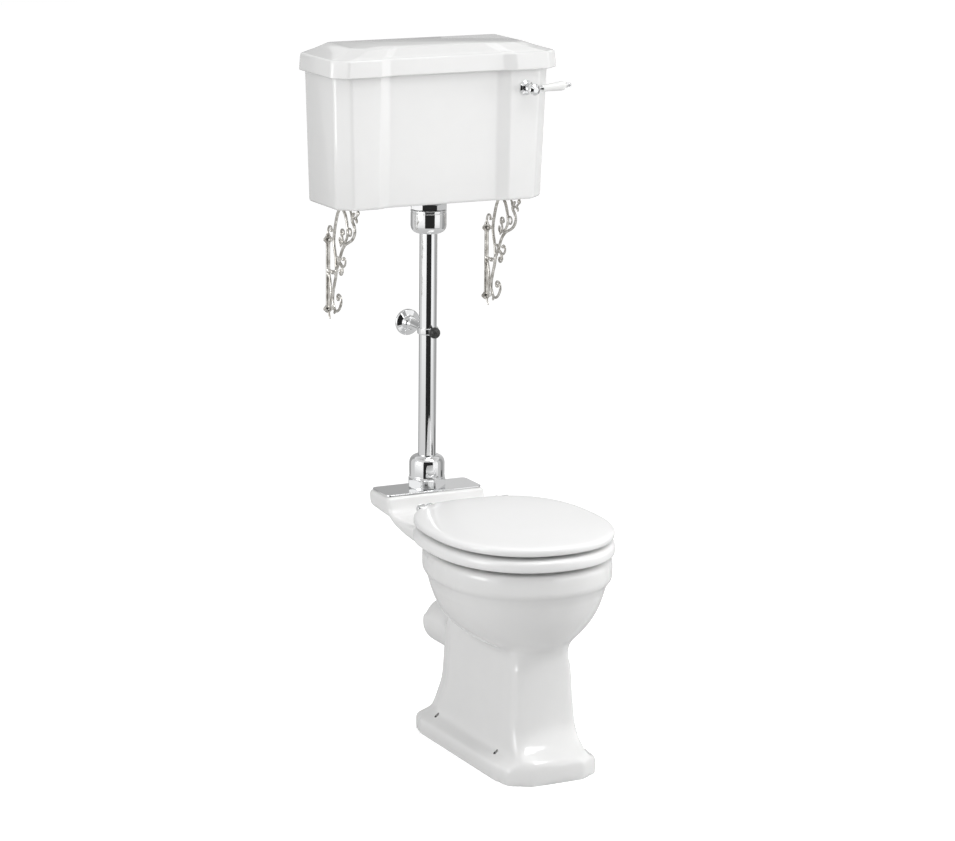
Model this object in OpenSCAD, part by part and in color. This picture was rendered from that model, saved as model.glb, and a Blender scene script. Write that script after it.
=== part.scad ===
// Medium level toilet: a china pan with a ledge, a short chromed flush pipe,
// and a lever cistern standing on two cast scroll brackets.
// Millimetres, Z up, X to the right, Y towards the wall.
// The origin lies on the floor, midway between the four floor screws.

/* [Layout] */
// Distance from the floor screws' centre to the wall
pan_to_wall = 465; // [455:1:480]
// Distance from the wall to the flush pipe's axis
pipe_to_wall = 100; // [97:1:104]
// Height of the cistern's underside above the floor
cistern_base_z = 1096; // [1050:1:1200]
// Air gap between the cistern and the wall
cistern_gap = 15; // [12:1:18]

/* [Pan] */
// Height of the rim's top
rim_z = 438; // [430:1:444]
// Half of the rim's width
rim_half_w = 181; // [176:1:186]
// Reach of the rim forward of the floor screws' centre
rim_front = 262; // [256:1:268]
// Height of the ledge's top
ledge_z = 475; // [470:1:480]
// Width of the ledge
ledge_w = 229; // [226:1:236]
// Depth of the ledge from front to back
ledge_d = 96; // [92:1:100]
// Half of the foot's width on the floor
foot_half_w = 110; // [108:1:112]
// Height of the foot's upright edge
foot_edge_h = 31; // [28:1:34]
// Spacing of the floor screws across the pan
floor_hole_dx = 172; // [168:1:176]
// Spacing of the floor screws along the pan
floor_hole_dy = 270; // [240:1:290]
// Diameter of a floor screw hole
floor_hole_d = 9; // [7:0.5:10]
// Outer diameter of the soil outlet
outlet_d = 102; // [98:1:106]
// Wall of the soil outlet
outlet_wall = 9; // [7:0.5:10]
// Length of the soil outlet's plain end
spigot_len = 50; // [40:1:60]
// Height of the soil outlet's axis
outlet_z = 210; // [206:1:214]
// Distance from the soil outlet's end to the wall
outlet_to_wall = 182; // [175:1:190]

/* [Flush pipe] */
// Outer diameter of the flush pipe
pipe_d = 38; // [36:0.5:40]
// Wall of the flush pipe
pipe_wall = 1.5; // [1:0.5:2.5]
// Width of the cover plate on the ledge
plate_w = 223; // [215:1:228]
// Depth of the cover plate
plate_d = 84; // [82:1:90]
// Thickness of the cover plate
plate_t = 4; // [3:0.5:5]
// Width of the octagonal base nut over its corners
base_nut_d = 84; // [80:1:88]
// Height of the base nut
base_nut_h = 21; // [18:1:24]
// Diameter of the domed cap
cap_d = 75; // [70:1:78]
// Height of the domed cap
cap_h = 49; // [44:1:54]
// Diameter of the cup nut under the cistern
cup_d = 76; // [70:1:80]
// Height of the cup nut
cup_h = 50; // [46:1:54]
// Width of the octagonal nut above it, over its corners
tail_nut_d = 80; // [76:1:82]
// Height of the wall clip's axis
clip_z = 818; // [760:1:860]
// Diameter of the wall rose
rose_d = 57; // [50:1:62]
// Diameter of the clip's stem
stem_d = 20; // [16:1:22]
// Height of the clip's ring
clip_ring_h = 14; // [12:1:18]
// Diameter of the rubber stop ball
stop_d = 24; // [22:1:26]

/* [Cistern] */
// Width of the lid over its skirt
lid_w = 520; // [515:1:525]
// Depth of the lid from front to back
lid_d = 182; // [180:1:186]
// Height of the lid's upright edge
lid_edge_h = 37; // [34:1:40]
// Rise of the lid's raised top above its edge
lid_rise = 18; // [14:1:22]
// Drop of the skirt below the body's rim
skirt_drop = 15; // [12:1:17]
// Overhang of the lid beyond the body
lid_overhang = 13; // [13:0.5:15]
// Height of the body from underside to rim
body_h = 291; // [285:1:300]
// Wall of the body
china_t = 12; // [11:0.5:13]
// How far each side of the body leans in at the bottom
body_side_taper = 10; // [7:1:12]
// How far the front of the body leans in at the bottom
body_front_taper = 6; // [3:1:7]
// Half of the front panel's width
panel_half_w = 124; // [118:1:128]
// Depth of the front panel's recess
panel_recess = 11; // [8:0.5:12]
// Distance of each wall screw in from the lid's side
screw_inset = 95; // [90:1:100]
// Distance of the wall screws below the rim
screw_drop = 29; // [26:1:32]
// Diameter of the rubber spacers behind the cistern
spacer_d = 30; // [26:1:34]

/* [Lever] */
// Distance of the lever's spindle in from the lid's side
lever_inset = 75; // [73:1:78]
// Distance of the spindle below the lid's skirt
lever_drop = 39; // [36:1:42]
// Angle that the lever turns through
lever_sweep = 35; // [30:1:35]
// Length of the lever from its spindle to its tip
lever_len = 88; // [84:1:94]
// Diameter of the lever's hub
hub_d = 24; // [22:1:26]
// Distance of the hub's middle from the front of the cistern
hub_out = 34; // [32:1:38]

/* [Flushing gear] */
// Diameter of the siphon tail's thread
tail_d = 48; // [47:0.5:49]
// Outer diameter of the siphon's tubes
siphon_tube_d = 40; // [38:1:40]
// Outer diameter of the siphon's chamber
chamber_d = 98; // [96:1:100]
// Height of the siphon's chamber
chamber_h = 82; // [80:1:86]
// Diameter of the lift rod
rod_d = 8; // [7:0.5:8.5]
// Distance of the lift rod in from the chamber's side
rod_inset = 21; // [19:1:23]
// Diameter of the float
float_d = 86; // [76:1:88]
// Length of the float's arm from pivot to ball
float_arm_len = 283; // [275:1:290]
// Angle that the float rises through as the cistern fills
float_drop = 18; // [12:1:18]
// Diameter of the water inlet's thread
inlet_d = 20.96; // [20.9:0.02:21]
// Distance of the water inlet below the cistern's rim
inlet_drop = 42; // [40:1:45]
// Distance of the siphon's bend below the cistern's rim
bend_drop = 117; // [112:1:122]

/* [Toilet seat] */
// Thickness of the ring
ring_t = 24; // [20:1:26]
// Thickness of the lid's edge
cover_t = 17; // [15:1:20]
// Rise of the lid's dome
cover_rise = 7; // [5:1:9]
// Height of the ring's rubber buffers
ring_buffer_h = 10; // [9:1:11]
// Diameter of the ring's rubber buffers
ring_buffer_d = 18; // [16:1:20]
// Height of the lid's rubber buffers
cover_buffer_h = 8; // [6:0.5:9]
// Diameter of the lid's rubber buffers
cover_buffer_d = 12; // [10:1:14]
// Spacing of the hinge posts
hinge_dx = 155; // [150:1:160]
// Reach of the hinge axis behind the floor screws' centre
hinge_y = 190; // [188:1:194]
// Diameter of the hinge rod
hinge_rod_d = 10; // [9:0.5:11]
// Diameter of the hinge posts
post_d = 16; // [14:1:18]
// Diameter of the hinge posts' bases
post_base_d = 30; // [28:1:32]
// Diameter of the hinge bolts
hinge_bolt_d = 8; // [7:0.5:8]

/* [Brackets] */
// Distance of each bracket in from the lid's side
bracket_inset = 73; // [68:1:80]
// Height of a bracket's wall bar
bar_h = 168; // [160:1:176]
// Drop of the bar's top below the cistern
bar_drop = 74; // [70:1:78]
// Width of the wall bar
bar_w = 9; // [8:0.5:11]
// Thickness of the wall bar
bar_t = 6; // [5:0.5:7]
// Diameter of a wall screw hole
wall_hole_d = 5.5; // [4:0.5:6]

/* [Fits] */
// Clearance between parts that slide or turn on each other
run_gap = 0.3; // [0.2:0.05:0.4]

/* [Hidden] */

china = "white";
chrome = "silver";
nickel = "darkgray";
rubber = "dimgray";
gunmetal = "goldenrod";
plastic = "whitesmoke";

wall_y = pan_to_wall;
pipe_y = wall_y - pipe_to_wall;
cistern_back_y = wall_y - cistern_gap;
lid_front_y = cistern_back_y - lid_d;
body_front_y = lid_front_y + lid_overhang + 3;
body_half_w = lid_w / 2 - lid_overhang;
rim_top_z = cistern_base_z + body_h;
skirt_z = rim_top_z - skirt_drop;
floor_t = china_t + 2;
tank_floor_z = cistern_base_z + floor_t;
plate_z = ledge_z + plate_t;
lever_x = lid_w / 2 - lever_inset;
bracket_x = lid_w / 2 - bracket_inset;
inlet_h = body_h - inlet_drop;
deck_under_z = rim_z - 34;

// Small geometry helpers.

// Unit vector along v.
function unit(v) = v / norm(v);

// Points of the arc that rounds corner b, between neighbours a and c, with radius r.
function corner_arc(a, b, c, r, steps) =
    let (u = unit(a - b), v = unit(c - b), half = acos(u * v) / 2)
    let (start = b + u * r / tan(half), centre = b + unit(u + v) * r / sin(half))
    let (from = start - centre, turn = cross(u, v) > 0 ? half - 90 : 90 - half)
    [for (i = [0 : steps]) let (t = 2 * turn * i / steps)
        centre + [from[0] * cos(t) - from[1] * sin(t), from[0] * sin(t) + from[1] * cos(t)]];

// Outline of a polygon whose corners [x, y, radius] are rounded.
function rounded(corners, steps = 3) =
    let (n = len(corners))
    [for (i = [0 : n - 1])
        let (a = corners[(i + n - 1) % n], b = corners[i], c = corners[(i + 1) % n])
        each corner_arc([a[0], a[1]], [b[0], b[1]], [c[0], c[1]], b[2], steps)];

// Oval outline with its own reach to the front and back; power 2 is an ellipse, more is squarer.
function oval(half_w, front, back, middle, power, sides, back_power = 0) =
    [for (i = [0 : sides - 1])
        let (t = 360 * i / sides, c = cos(t), s = sin(t))
        let (reach = s < 0 ? middle - front : back - middle)
        let (e = 2 / (s < 0 || back_power == 0 ? power : back_power))
        [half_w * sign(c) * pow(abs(c), e), middle + reach * sign(s) * pow(abs(s), e)]];

// Lifts a flat outline to height z.
function at_z(outline, z) = [for (p = outline) [p[0], p[1], z]];

// Mean of a ring of points.
function middle_of(ring) = [for (k = [0 : 2]) [for (p = ring) p[k]] * [for (p = ring) 1] / len(ring)];

// Closed solid through a stack of rings, each with the same number of points.
module loft(rings) {
    n = len(rings[0]);
    last = (len(rings) - 1) * n;
    points = [each [for (ring = rings) each ring], middle_of(rings[0]), middle_of(rings[len(rings) - 1])];
    sides = [for (k = [0 : len(rings) - 2], i = [0 : n - 1])
        let (a = k * n + i, b = k * n + (i + 1) % n)
        each [[a, a + n, b + n], [a, b + n, b]]];
    ends = [for (i = [0 : n - 1])
        each [[i, (i + 1) % n, last + n], [last + (i + 1) % n, last + i, last + n + 1]]];
    polyhedron(points, concat(sides, ends));
}

// Closed solid from rings that run round a loop, the last joined to the first.
module loop_loft(rings) {
    m = len(rings);
    n = len(rings[0]);
    faces = [for (k = [0 : m - 1], i = [0 : n - 1])
        let (a = k * n + i, b = k * n + (i + 1) % n)
        let (c = ((k + 1) % m) * n + i, d = ((k + 1) % m) * n + (i + 1) % n)
        each [[a, d, c], [a, b, d]]];
    polyhedron([for (ring = rings) each ring], faces);
}

// Point on a smooth curve through the points p, between p[i] and p[i + 1].
function curve_point(p, i, t) =
    let (n = len(p), a = p[max(i - 1, 0)], b = p[i], c = p[i + 1], d = p[min(i + 2, n - 1)])
    0.5 * ((2 * b) + (c - a) * t + (2 * a - 5 * b + 4 * c - d) * t * t
        + (3 * b - a - 3 * c + d) * t * t * t);

// Smooth curve through the points p with a few steps between each two.
function smooth_curve(p, steps) =
    [for (i = [0 : len(p) - 2], k = [0 : steps - 1]) curve_point(p, i, k / steps), p[len(p) - 1]];

// Round bar that follows a curve in the plane of Y and Z, thinning from r0 to r1.
module scroll_bar(curve, r0, r1, sides = 6) {
    n = len(curve);
    loft([for (i = [0 : n - 1])
        let (along = unit(curve[min(i + 1, n - 1)] - curve[max(i - 1, 0)]))
        let (r = r0 + (r1 - r0) * i / (n - 1))
        [for (k = [0 : sides - 1]) let (t = -360 * (k + 0.5) / sides)
            [r * cos(t), curve[i][0] - along[1] * r * sin(t), curve[i][1] + along[0] * r * sin(t)]]]);
}

// Cylinders that lie along X or Y, starting at the given place.
module rod_x(at, length, d, sides = 48)
    translate(at) rotate([0, 90, 0]) cylinder(h = length, d = d, $fn = sides);
module rod_y(at, length, d, sides = 48)
    translate(at) rotate([-90, 0, 0]) cylinder(h = length, d = d, $fn = sides);

// Ring with a bore, standing along Z.
module washer(at, h, d, bore) translate(at) difference() {
    cylinder(h = h, d = d, $fn = 48);
    translate([0, 0, -1]) cylinder(h = h + 2, d = bore, $fn = 48);
}

// Pan.
// Each row of a profile is [height, half width, front, back].

foot_front = rim_front - 14;
foot_back = foot_front - 32;
hinge_hole_d = 16;
inlet_bore_d = pipe_d + 16;
outlet_end_y = wall_y - outlet_to_wall;
bowl_mid_y = -60;
ledge_back_y = pipe_y + ledge_d / 2;
ledge_front_y = pipe_y - ledge_d / 2;

bowl_profile = [
    [248, 46, -172, 62], [257, 72, -184, 80], [265, 92, -193, 92], [276, 109, -203, 104],
    [289, 125, -212, 116], [307, 141, -223, 128], [329, 154, -234, 140], [351, 163, -242, 150],
    [372, 168, -247, 156], [386, rim_half_w - 8, 8 - rim_front, 160],
    [389, rim_half_w - 7, 7 - rim_front, 161], [393, rim_half_w - 1, 1 - rim_front, 165],
    [399, rim_half_w, -rim_front, 166], [rim_z - 9, rim_half_w, -rim_front, 166],
    [rim_z - 3, rim_half_w - 2, 2 - rim_front, 165], [rim_z, rim_half_w - 8, 8 - rim_front, 160]];

// Inside of the bowl, from the sump up to the rim's mouth.
bowl_cavity = [
    [92, 26, -30, 22], [98, 34, -40, 30], [130, 38, -46, 34], [180, 41, -56, 34], [225, 44, -72, 37],
    [250, 54, -104, 44], [268, 74, -140, 56], [287, 98, -180, 76], [317, 124, -208, 104],
    [347, 141, -222, 121], [368, 148, -230, 130], [386, 150, -232, 134], [394, 142, -226, 124],
    [400, 124, -208, 97], [rim_z - 12, 119, -204, 91], [rim_z - 4, 121, -206, 93],
    [rim_z + 1, 127, -212, 99]];

// Column and foot: [height, half width, front, back, corner width, corner depth, bulge of the sides].
column_profile = [
    [0, foot_half_w, -foot_front, foot_back - 3, 49, 30, 8],
    [foot_edge_h, foot_half_w, -foot_front, foot_back - 3, 49, 30, 8],
    [foot_edge_h + 4, foot_half_w - 6, -foot_front, foot_back - 4, 45, 27, 7],
    [foot_edge_h + 9, foot_half_w - 17, 1 - foot_front, foot_back - 7, 40, 24, 5],
    [foot_edge_h + 14, foot_half_w - 25, 4 - foot_front, foot_back - 11, 35, 20, 3],
    [foot_edge_h + 21, foot_half_w - 30, 12 - foot_front, foot_back - 16, 32, 16, 2],
    [foot_edge_h + 34, foot_half_w - 33, 30 - foot_front, foot_back - 22, 31, 12, 1],
    [foot_edge_h + 60, foot_half_w - 36, 49 - foot_front, foot_back - 33, 28, 8, 1],
    [foot_edge_h + 98, foot_half_w - 39, 56 - foot_front, foot_back - 47, 25, 8, 1],
    [200, foot_half_w - 43, 60 - foot_front, foot_back - 48, 21, 8, 1],
    [290, foot_half_w - 50, 66 - foot_front, foot_back - 50, 18, 8, 1]];

// Plan of the column: cut corners at the front, soft ones at the back.
function column_outline(row) =
    let (w = row[1], f = row[2], b = row[3], cx = row[4], cy = row[5], g = row[6])
    rounded([[-w, f + cy + 50, 90], [g - w, f + cy, 16], [cx - w, f + 4, 14], [0, f, 300],
        [w - cx, f + 4, 14], [w - g, f + cy, 16], [w, f + cy + 50, 90],
        [w, b - 50, 60], [w - 11, b, 14], [11 - w, b, 14], [-w, b - 50, 60]], 2);

// Hollow under the foot.
hollow_profile = [[-1, 71, -224, 196], [38, 69, -220, 190], [50, 62, -206, 178], [74, 52, -190, 160],
    [79, 40, -170, 140]];

// Deck from the rim to the ledge: [distance behind the floor screws, half width, top, underside].
deck_profile = [
    [40, 98, rim_z - 1.3, 396], [110, 104, rim_z - 1.2, 399], [150, 107, rim_z - 1, 402],
    [180, 110, rim_z - 0.5, 404], [222, ledge_w / 2 - 1, rim_z, 408], [276, ledge_w / 2, rim_z + 1, 417],
    [ledge_front_y - 14, ledge_w / 2, rim_z + 4, 425], [ledge_front_y - 4, ledge_w / 2, rim_z + 12, 430],
    [ledge_front_y, ledge_w / 2, ledge_z - 4, 431], [ledge_front_y + 4, ledge_w / 2, ledge_z, 432],
    [ledge_back_y - 14, ledge_w / 2, ledge_z, 438], [ledge_back_y - 3, ledge_w / 2, ledge_z, 443],
    [ledge_back_y, ledge_w / 2 - 3, ledge_z - 3, 450]];

// Keel below the deck that carries the flush water: same form.
keel_profile = [[60, 50, 425, 310], [150, 50, 425, 334], [220, 48, 425, 354], [290, 46, 428, 370],
    [pipe_y, 44, 430, 388], [ledge_back_y - 8, 40, 440, 414]];

// Upright rounded section of the deck or keel at one distance.
function deck_section(row, r) =
    [for (p = rounded([[row[1], row[2], min(r, 5)], [row[1], row[3], r], [-row[1], row[3], r],
        [-row[1], row[2], min(r, 5)]])) [p[0], row[0], p[1]]];

module pan_form() {
    difference() {
        union() {
            loft([for (r = bowl_profile) at_z(oval(r[1], r[2], r[3], bowl_mid_y, 2.2, 44), r[0])]);
            loft([for (r = column_profile) at_z(column_outline(r), r[0])]);
            loft([for (r = deck_profile) deck_section(r, 9)]);
            loft([for (r = keel_profile) deck_section(r, 20)]);
        }
        loft([for (r = bowl_cavity) at_z(oval(r[1], r[2], r[3], (r[2] + 2 * r[3]) / 3, 2.1, 40), r[0])]);
        loft([for (r = hollow_profile) at_z(oval(r[1], r[2], r[3], -20, 4, 24), r[0])]);
        // Trap: under the dip, over the weir and into the outlet.
        hull() for (p = [[0, 2, 118], [0, 52, 132]]) translate(p) sphere(r = 30, $fn = 16);
        hull() for (p = [[0, 52, 132], [0, 114, 236]]) translate(p) sphere(r = 30.3, $fn = 18);
        hull() {
            translate([0, 114, 236]) sphere(r = 30, $fn = 16);
            translate([0, 150, outlet_z]) sphere(r = 36, $fn = 16);
        }
    }
}

module pan() color(china) difference() {
    union() {
        resize([2 * rim_half_w, 0, 0]) pan_form();
        rod_y([0, 120, outlet_z], outlet_end_y - 121, outlet_d - 2);
        rod_y([0, outlet_end_y - spigot_len, outlet_z], spigot_len, outlet_d);
    }
    rod_y([0, 150, outlet_z], outlet_end_y - 149, outlet_d - 2 * outlet_wall);
    for (x = [-1, 1], y = [-1, 1])
        translate([x * floor_hole_dx / 2, y * floor_hole_dy / 2, -1])
            cylinder(h = 120, d = floor_hole_d, $fn = 48);
    for (x = [-1, 1])
        translate([x * hinge_dx / 2, hinge_y, deck_under_z - 24])
            cylinder(h = rim_z - deck_under_z + 48, d = hinge_hole_d, $fn = 48);
    // Inlet for the flush pipe, and the channel that brings the water to the rim.
    translate([0, pipe_y, rim_z - 18]) cylinder(h = 80, d = inlet_bore_d, $fn = 64);
    rod_y([0, 96, rim_z - 28], pipe_y - 96, 28);
}

// Flush pipe and its joints.

module plate_outline(inset) {
    r = 11;
    w = plate_w - 2 * inset;
    d = plate_d - 2 * inset;
    translate([r - w / 2, -d / 2]) square([w - 2 * r, d]);
    translate([-w / 2, r - d / 2]) square([w, d - 2 * r]);
    for (x = [-1, 1], y = [-1, 1])
        translate([x * (w / 2 - r), y * (d / 2 - r)]) circle(r = r, $fn = 48);
}

module ledge_cover_plate() color(chrome) translate([0, pipe_y, ledge_z]) difference() {
    union() {
        linear_extrude(plate_t - 1.2) plate_outline(0);
        linear_extrude(plate_t) plate_outline(1.2);
    }
    translate([0, 0, -1]) cylinder(h = plate_t + 2, d = pipe_d + 2 * run_gap, $fn = 64);
}

seal_z = rim_z - 18;
pipe_foot_z = seal_z + 12;

module pan_inlet_seal() color(rubber) translate([0, pipe_y, 0]) rotate_extrude($fn = 64)
    polygon([[pipe_d / 2 + 0.1, pipe_foot_z - 4], [pipe_d / 2 + 4, pipe_foot_z - 4],
        [inlet_bore_d / 2 - 0.1, ledge_z - 26], [inlet_bore_d / 2 - 0.1, ledge_z - 1],
        [pipe_d / 2 + 0.1, ledge_z - 1]]);

module base_nut() color(chrome) translate([0, pipe_y, plate_z]) difference() {
    union() {
        cylinder(h = base_nut_h - 3, d = base_nut_d, $fn = 8);
        cylinder(h = base_nut_h, d = base_nut_d * cos(22.5), $fn = 64);
    }
    translate([0, 0, -1]) cylinder(h = base_nut_h + 2, d = pipe_d + 2 * run_gap, $fn = 64);
}

cap_z = plate_z + base_nut_h;
cap_round = 13;

module domed_cap() color(chrome) translate([0, pipe_y, cap_z]) rotate_extrude($fn = 96) difference() {
    union() {
        square([cap_d / 2, cap_h - cap_round - 3]);
        square([cap_d / 2 - cap_round, cap_h - 3]);
        translate([cap_d / 2 - cap_round, cap_h - cap_round - 3]) circle(r = cap_round, $fn = 64);
        square([pipe_d / 2 + 4, cap_h]);
    }
    translate([-cap_d, -1]) square([cap_d + pipe_d / 2 + run_gap, cap_h + 2]);
    translate([0, -1]) square([cap_d / 2 - 4, cap_h - cap_round - 3]);
}

cup_top_z = cistern_base_z - 19;
cup_z = cup_top_z - cup_h;
tail_z = cup_z + 22;
pipe_top_z = tail_z - 3;
collar_h = 4;

module flush_pipe() color(chrome) translate([0, pipe_y, 0]) difference() {
    union() {
        translate([0, 0, pipe_foot_z]) cylinder(h = pipe_top_z - pipe_foot_z, d = pipe_d, $fn = 96);
        translate([0, 0, pipe_top_z - collar_h]) cylinder(h = collar_h, d = tail_d - 2, $fn = 96);
    }
    translate([0, 0, pipe_foot_z - 1])
        cylinder(h = pipe_top_z, d = pipe_d - 2 * pipe_wall, $fn = 96);
}

module pipe_joint_washer() color(rubber)
    washer([0, pipe_y, pipe_top_z], tail_z - pipe_top_z, tail_d - 1, pipe_d - 2 * pipe_wall);

module cup_nut() color(chrome) translate([0, pipe_y, cup_z]) rotate_extrude($fn = 96) difference() {
    union() {
        translate([0, 16]) square([cup_d / 2, cup_h - 16]);
        translate([cup_d / 2 - 16, 16]) circle(r = 16, $fn = 64);
        square([cup_d / 2 - 16, cup_h]);
    }
    translate([-cup_d, -1]) square([cup_d + pipe_d / 2 + run_gap, cup_h + 2]);
    translate([0, pipe_top_z - collar_h - cup_z]) square([tail_d / 2 + run_gap, cup_h]);
}

module tail_nut() color(chrome) translate([0, pipe_y, cup_top_z + 1]) difference() {
    union() {
        cylinder(h = 14, d = tail_nut_d * cos(22.5), $fn = 64);
        translate([0, 0, 2]) cylinder(h = 12, d = tail_nut_d, $fn = 8);
    }
    translate([0, 0, -1]) cylinder(h = 16, d = tail_d + 2 * run_gap, $fn = 64);
}

module tail_outer_washer() color(rubber)
    washer([0, pipe_y, cup_top_z + 15], cistern_base_z - cup_top_z - 15, 60, tail_d + 2 * run_gap);

// Wall clip: its rose, stem and ring, and the rubber stop for the open lid.

rose_out = 20;
rose_bore_depth = 15;
ring_outer_d = pipe_d + 7;
stop_y = pipe_y - ring_outer_d / 2 - stop_d / 2 + 2;

module wall_rose() color(chrome) translate([0, wall_y, clip_z]) rotate([90, 0, 0]) difference() {
    union() {
        cylinder(h = 3, d = rose_d, $fn = 96);
        translate([0, 0, 3]) cylinder(h = 3, d1 = rose_d, d2 = rose_d - 8, $fn = 96);
        translate([0, 0, 6]) cylinder(h = 6, d1 = rose_d - 12, d2 = stem_d + 12, $fn = 96);
        cylinder(h = rose_out, d = stem_d + 9, $fn = 96);
    }
    translate([0, 0, -1]) cylinder(h = rose_bore_depth + 1, d = 8, $fn = 48);
}

module clip_stem() color(chrome) {
    length = pipe_to_wall - rose_out - ring_outer_d / 2 - 0.1;
    rod_y([0, wall_y - rose_out - length, clip_z], length, stem_d - 1);
    rod_y([0, wall_y - rose_out - 7, clip_z], 7, stem_d + 3);
}

module clip_ring() color(chrome) difference() {
    translate([0, pipe_y, clip_z - clip_ring_h / 2])
        cylinder(h = clip_ring_h, d = ring_outer_d, $fn = 96);
    translate([0, pipe_y, clip_z - clip_ring_h])
        cylinder(h = 2 * clip_ring_h, d = pipe_d + 0.4, $fn = 96);
    rod_y([0, pipe_y - ring_outer_d, clip_z], ring_outer_d, 5.2);
}

module stop_screw() color(chrome)
    rod_y([0, stop_y - 1, clip_z], pipe_y - pipe_d / 2 - 0.6 - stop_y, 5);

module rubber_stop() color(rubber) translate([0, stop_y, clip_z]) rotate([90, 0, 0])
    rotate_extrude($fn = 64) difference() {
        circle(d = stop_d, $fn = 64);
        translate([-stop_d, -stop_d]) square([stop_d, 2 * stop_d]);
        translate([0, -stop_d]) square([stop_d, stop_d / 2 + 2.2]);
        translate([-1, -stop_d]) square([3.6, stop_d + 1.2]);
    }

// Cistern brackets: cast scrollwork on a wall bar.
// The curves are [distance from the wall, height above the bar's foot].

bar_top_z = cistern_base_z - bar_drop;
bar_foot_z = bar_top_z - bar_h;
strap_t = 3;
loop_top = cistern_base_z - bar_foot_z - strap_t;

back_strand = [[68, loop_top - 2], [50, loop_top - 22], [38, 188], [32, 160], [36, 140], [42, 122], [44, 96]];
front_strand = [[68, loop_top - 2], [87, loop_top - 16], [98, 202], [101, 186], [97, 174], [88, 164]];
outer_strand = [[132, loop_top - 8], [122, 216], [133, 204], [136, 192], [130, 180], [118, 171],
    [102, 164], [87, 157], [75, 146], [66, 132], [60, 120], [52, 108], [44, 96]];
lower_strand = [[44, 96], [41, 81], [33, 61], [27, 39], [29, 23], [40, 10], [56, 14], [67, 27],
    [69, 37], [64, 45], [55, 47], [49, 42], [52, 35], [57, 37]];
bar_strand = [[8, 84], [15, 66], [18, 44], [17, 24], [11, 8]];
waist_scroll = [[58, 118], [72, 108], [76, 98], [68, 91], [61, 95], [65, 101]];
outer_scroll = [[64, 116], [78, 110], [88, 116], [89, 125], [82, 130], [78, 124]];
inner_scroll = [[88, 164], [72, 156], [64, 150]];
leaf_scroll = [[76, 160], [74, 172], [68, 178], [70, 187], [79, 188], [83, 181], [77, 179]];
ringlet = [for (t = [0 : 45 : 360]) [111 + 8 * cos(t), 188 + 8 * sin(t)]];
crest = [[132, loop_top - 8], [122, loop_top - 14], [114, loop_top - 6], [108, loop_top - 1]];
crest_leaf = [[122, 216], [138, 222], [146, loop_top - 12], [156, loop_top - 5], [150, loop_top - 1]];
finial = [[4, bar_h - 4], [3, bar_h + 8], [9, bar_h + 17], [18, bar_h + 17], [21, bar_h + 9]];
foot_tip = [[6, 4], [9, -4], [14, -12]];

// Half of a bracket's width over the ears on its bar.
ear_reach = 12;

module bracket_form() {
    for (p = [back_strand, front_strand, outer_strand, lower_strand])
        scroll_bar(smooth_curve(p, 2), 3.4, 3);
    for (p = [waist_scroll, outer_scroll, leaf_scroll, bar_strand, crest_leaf])
        scroll_bar(smooth_curve(p, 1), 3, 2.4);
    for (p = [finial, crest, inner_scroll, foot_tip]) scroll_bar(p, 2.8, 2.4);
    scroll_bar(ringlet, 2.2, 2.2);
    // Eyes at the ends of the scrolls.
    for (p = [[57, 38], [65, 99], [79, 126], [78, 180], [20, bar_h + 10], [150, loop_top - 5]])
        translate([0, p[0], p[1]]) sphere(r = 4, $fn = 8);
    // Collar that ties the waist to the bar.
    for (d = [14, 26, 40]) translate([0, d, 90]) sphere(r = 5, $fn = 8);
    rod_y([0, 3, 90], 38, 6, 8);
    // Wall bar with its bosses and ears.
    translate([-bar_w / 2, 0, 0]) cube([bar_w, bar_t, bar_h]);
    for (z = [8, bar_h - 12]) {
        rod_y([0, 0, z], bar_t + 2, 18, 24);
        for (s = [-1, 1]) translate([(ear_reach - 4) * s, bar_t / 2 + 1, z]) sphere(r = 4, $fn = 16);
    }
    // Strap that the cistern stands on.
    translate([-7, 58, loop_top]) cube([14, 94, strap_t]);
}

module bracket(x) color(nickel) translate([x, wall_y, bar_foot_z]) mirror([0, 1, 0]) difference() {
    resize([2 * ear_reach, 0, 0]) bracket_form();
    for (z = [8, bar_h - 12]) rod_y([0, -1, z], bar_t + 8, wall_hole_d);
}

module left_bracket() bracket(-bracket_x);
module right_bracket() bracket(bracket_x);

// Cistern body and lid.

chamfer_x = 30;
chamfer_y = 23;
panel_slant = 25;

// Plan of the cistern: square at the back, cut corners and a sunk panel at the front.
function cistern_outline(half_w, front, grow = 0, back = cistern_back_y) =
    let (cx = chamfer_x, cy = chamfer_y, p = panel_half_w + grow / 2, s = panel_slant)
    rounded([[-half_w, back, 3], [-half_w, front + cy, 12], [cx - half_w, front, 12],
        [-p - s, front, 16], [-p, front + panel_recess, 16], [p, front + panel_recess, 16],
        [p + s, front, 16], [half_w - cx, front, 12], [half_w, front + cy, 12], [half_w, back, 3]]);

// Plan of the tank inside the walls.
function tank_outline(half_w, front, back, r) =
    rounded([[-half_w, back, r], [-half_w, front + chamfer_y, r], [chamfer_x - half_w, front, r],
        [half_w - chamfer_x, front, r], [half_w, front + chamfer_y, r], [half_w, back, r]]);

// Half width and front of the body at a height above its underside.
function body_half_w_at(h) = body_half_w - body_side_taper * (1 - h / body_h);
function body_front_at(h) = body_front_y + body_front_taper * (1 - h / body_h);

function body_ring(h, inset) =
    at_z(cistern_outline(body_half_w_at(h) - inset, body_front_at(h) + inset), cistern_base_z + h);

function tank_ring(h, inset) =
    at_z(tank_outline(body_half_w_at(h) - china_t - inset,
        body_front_at(h) + panel_recess + china_t + inset, cistern_back_y - china_t - inset, 14),
        cistern_base_z + h);

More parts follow.
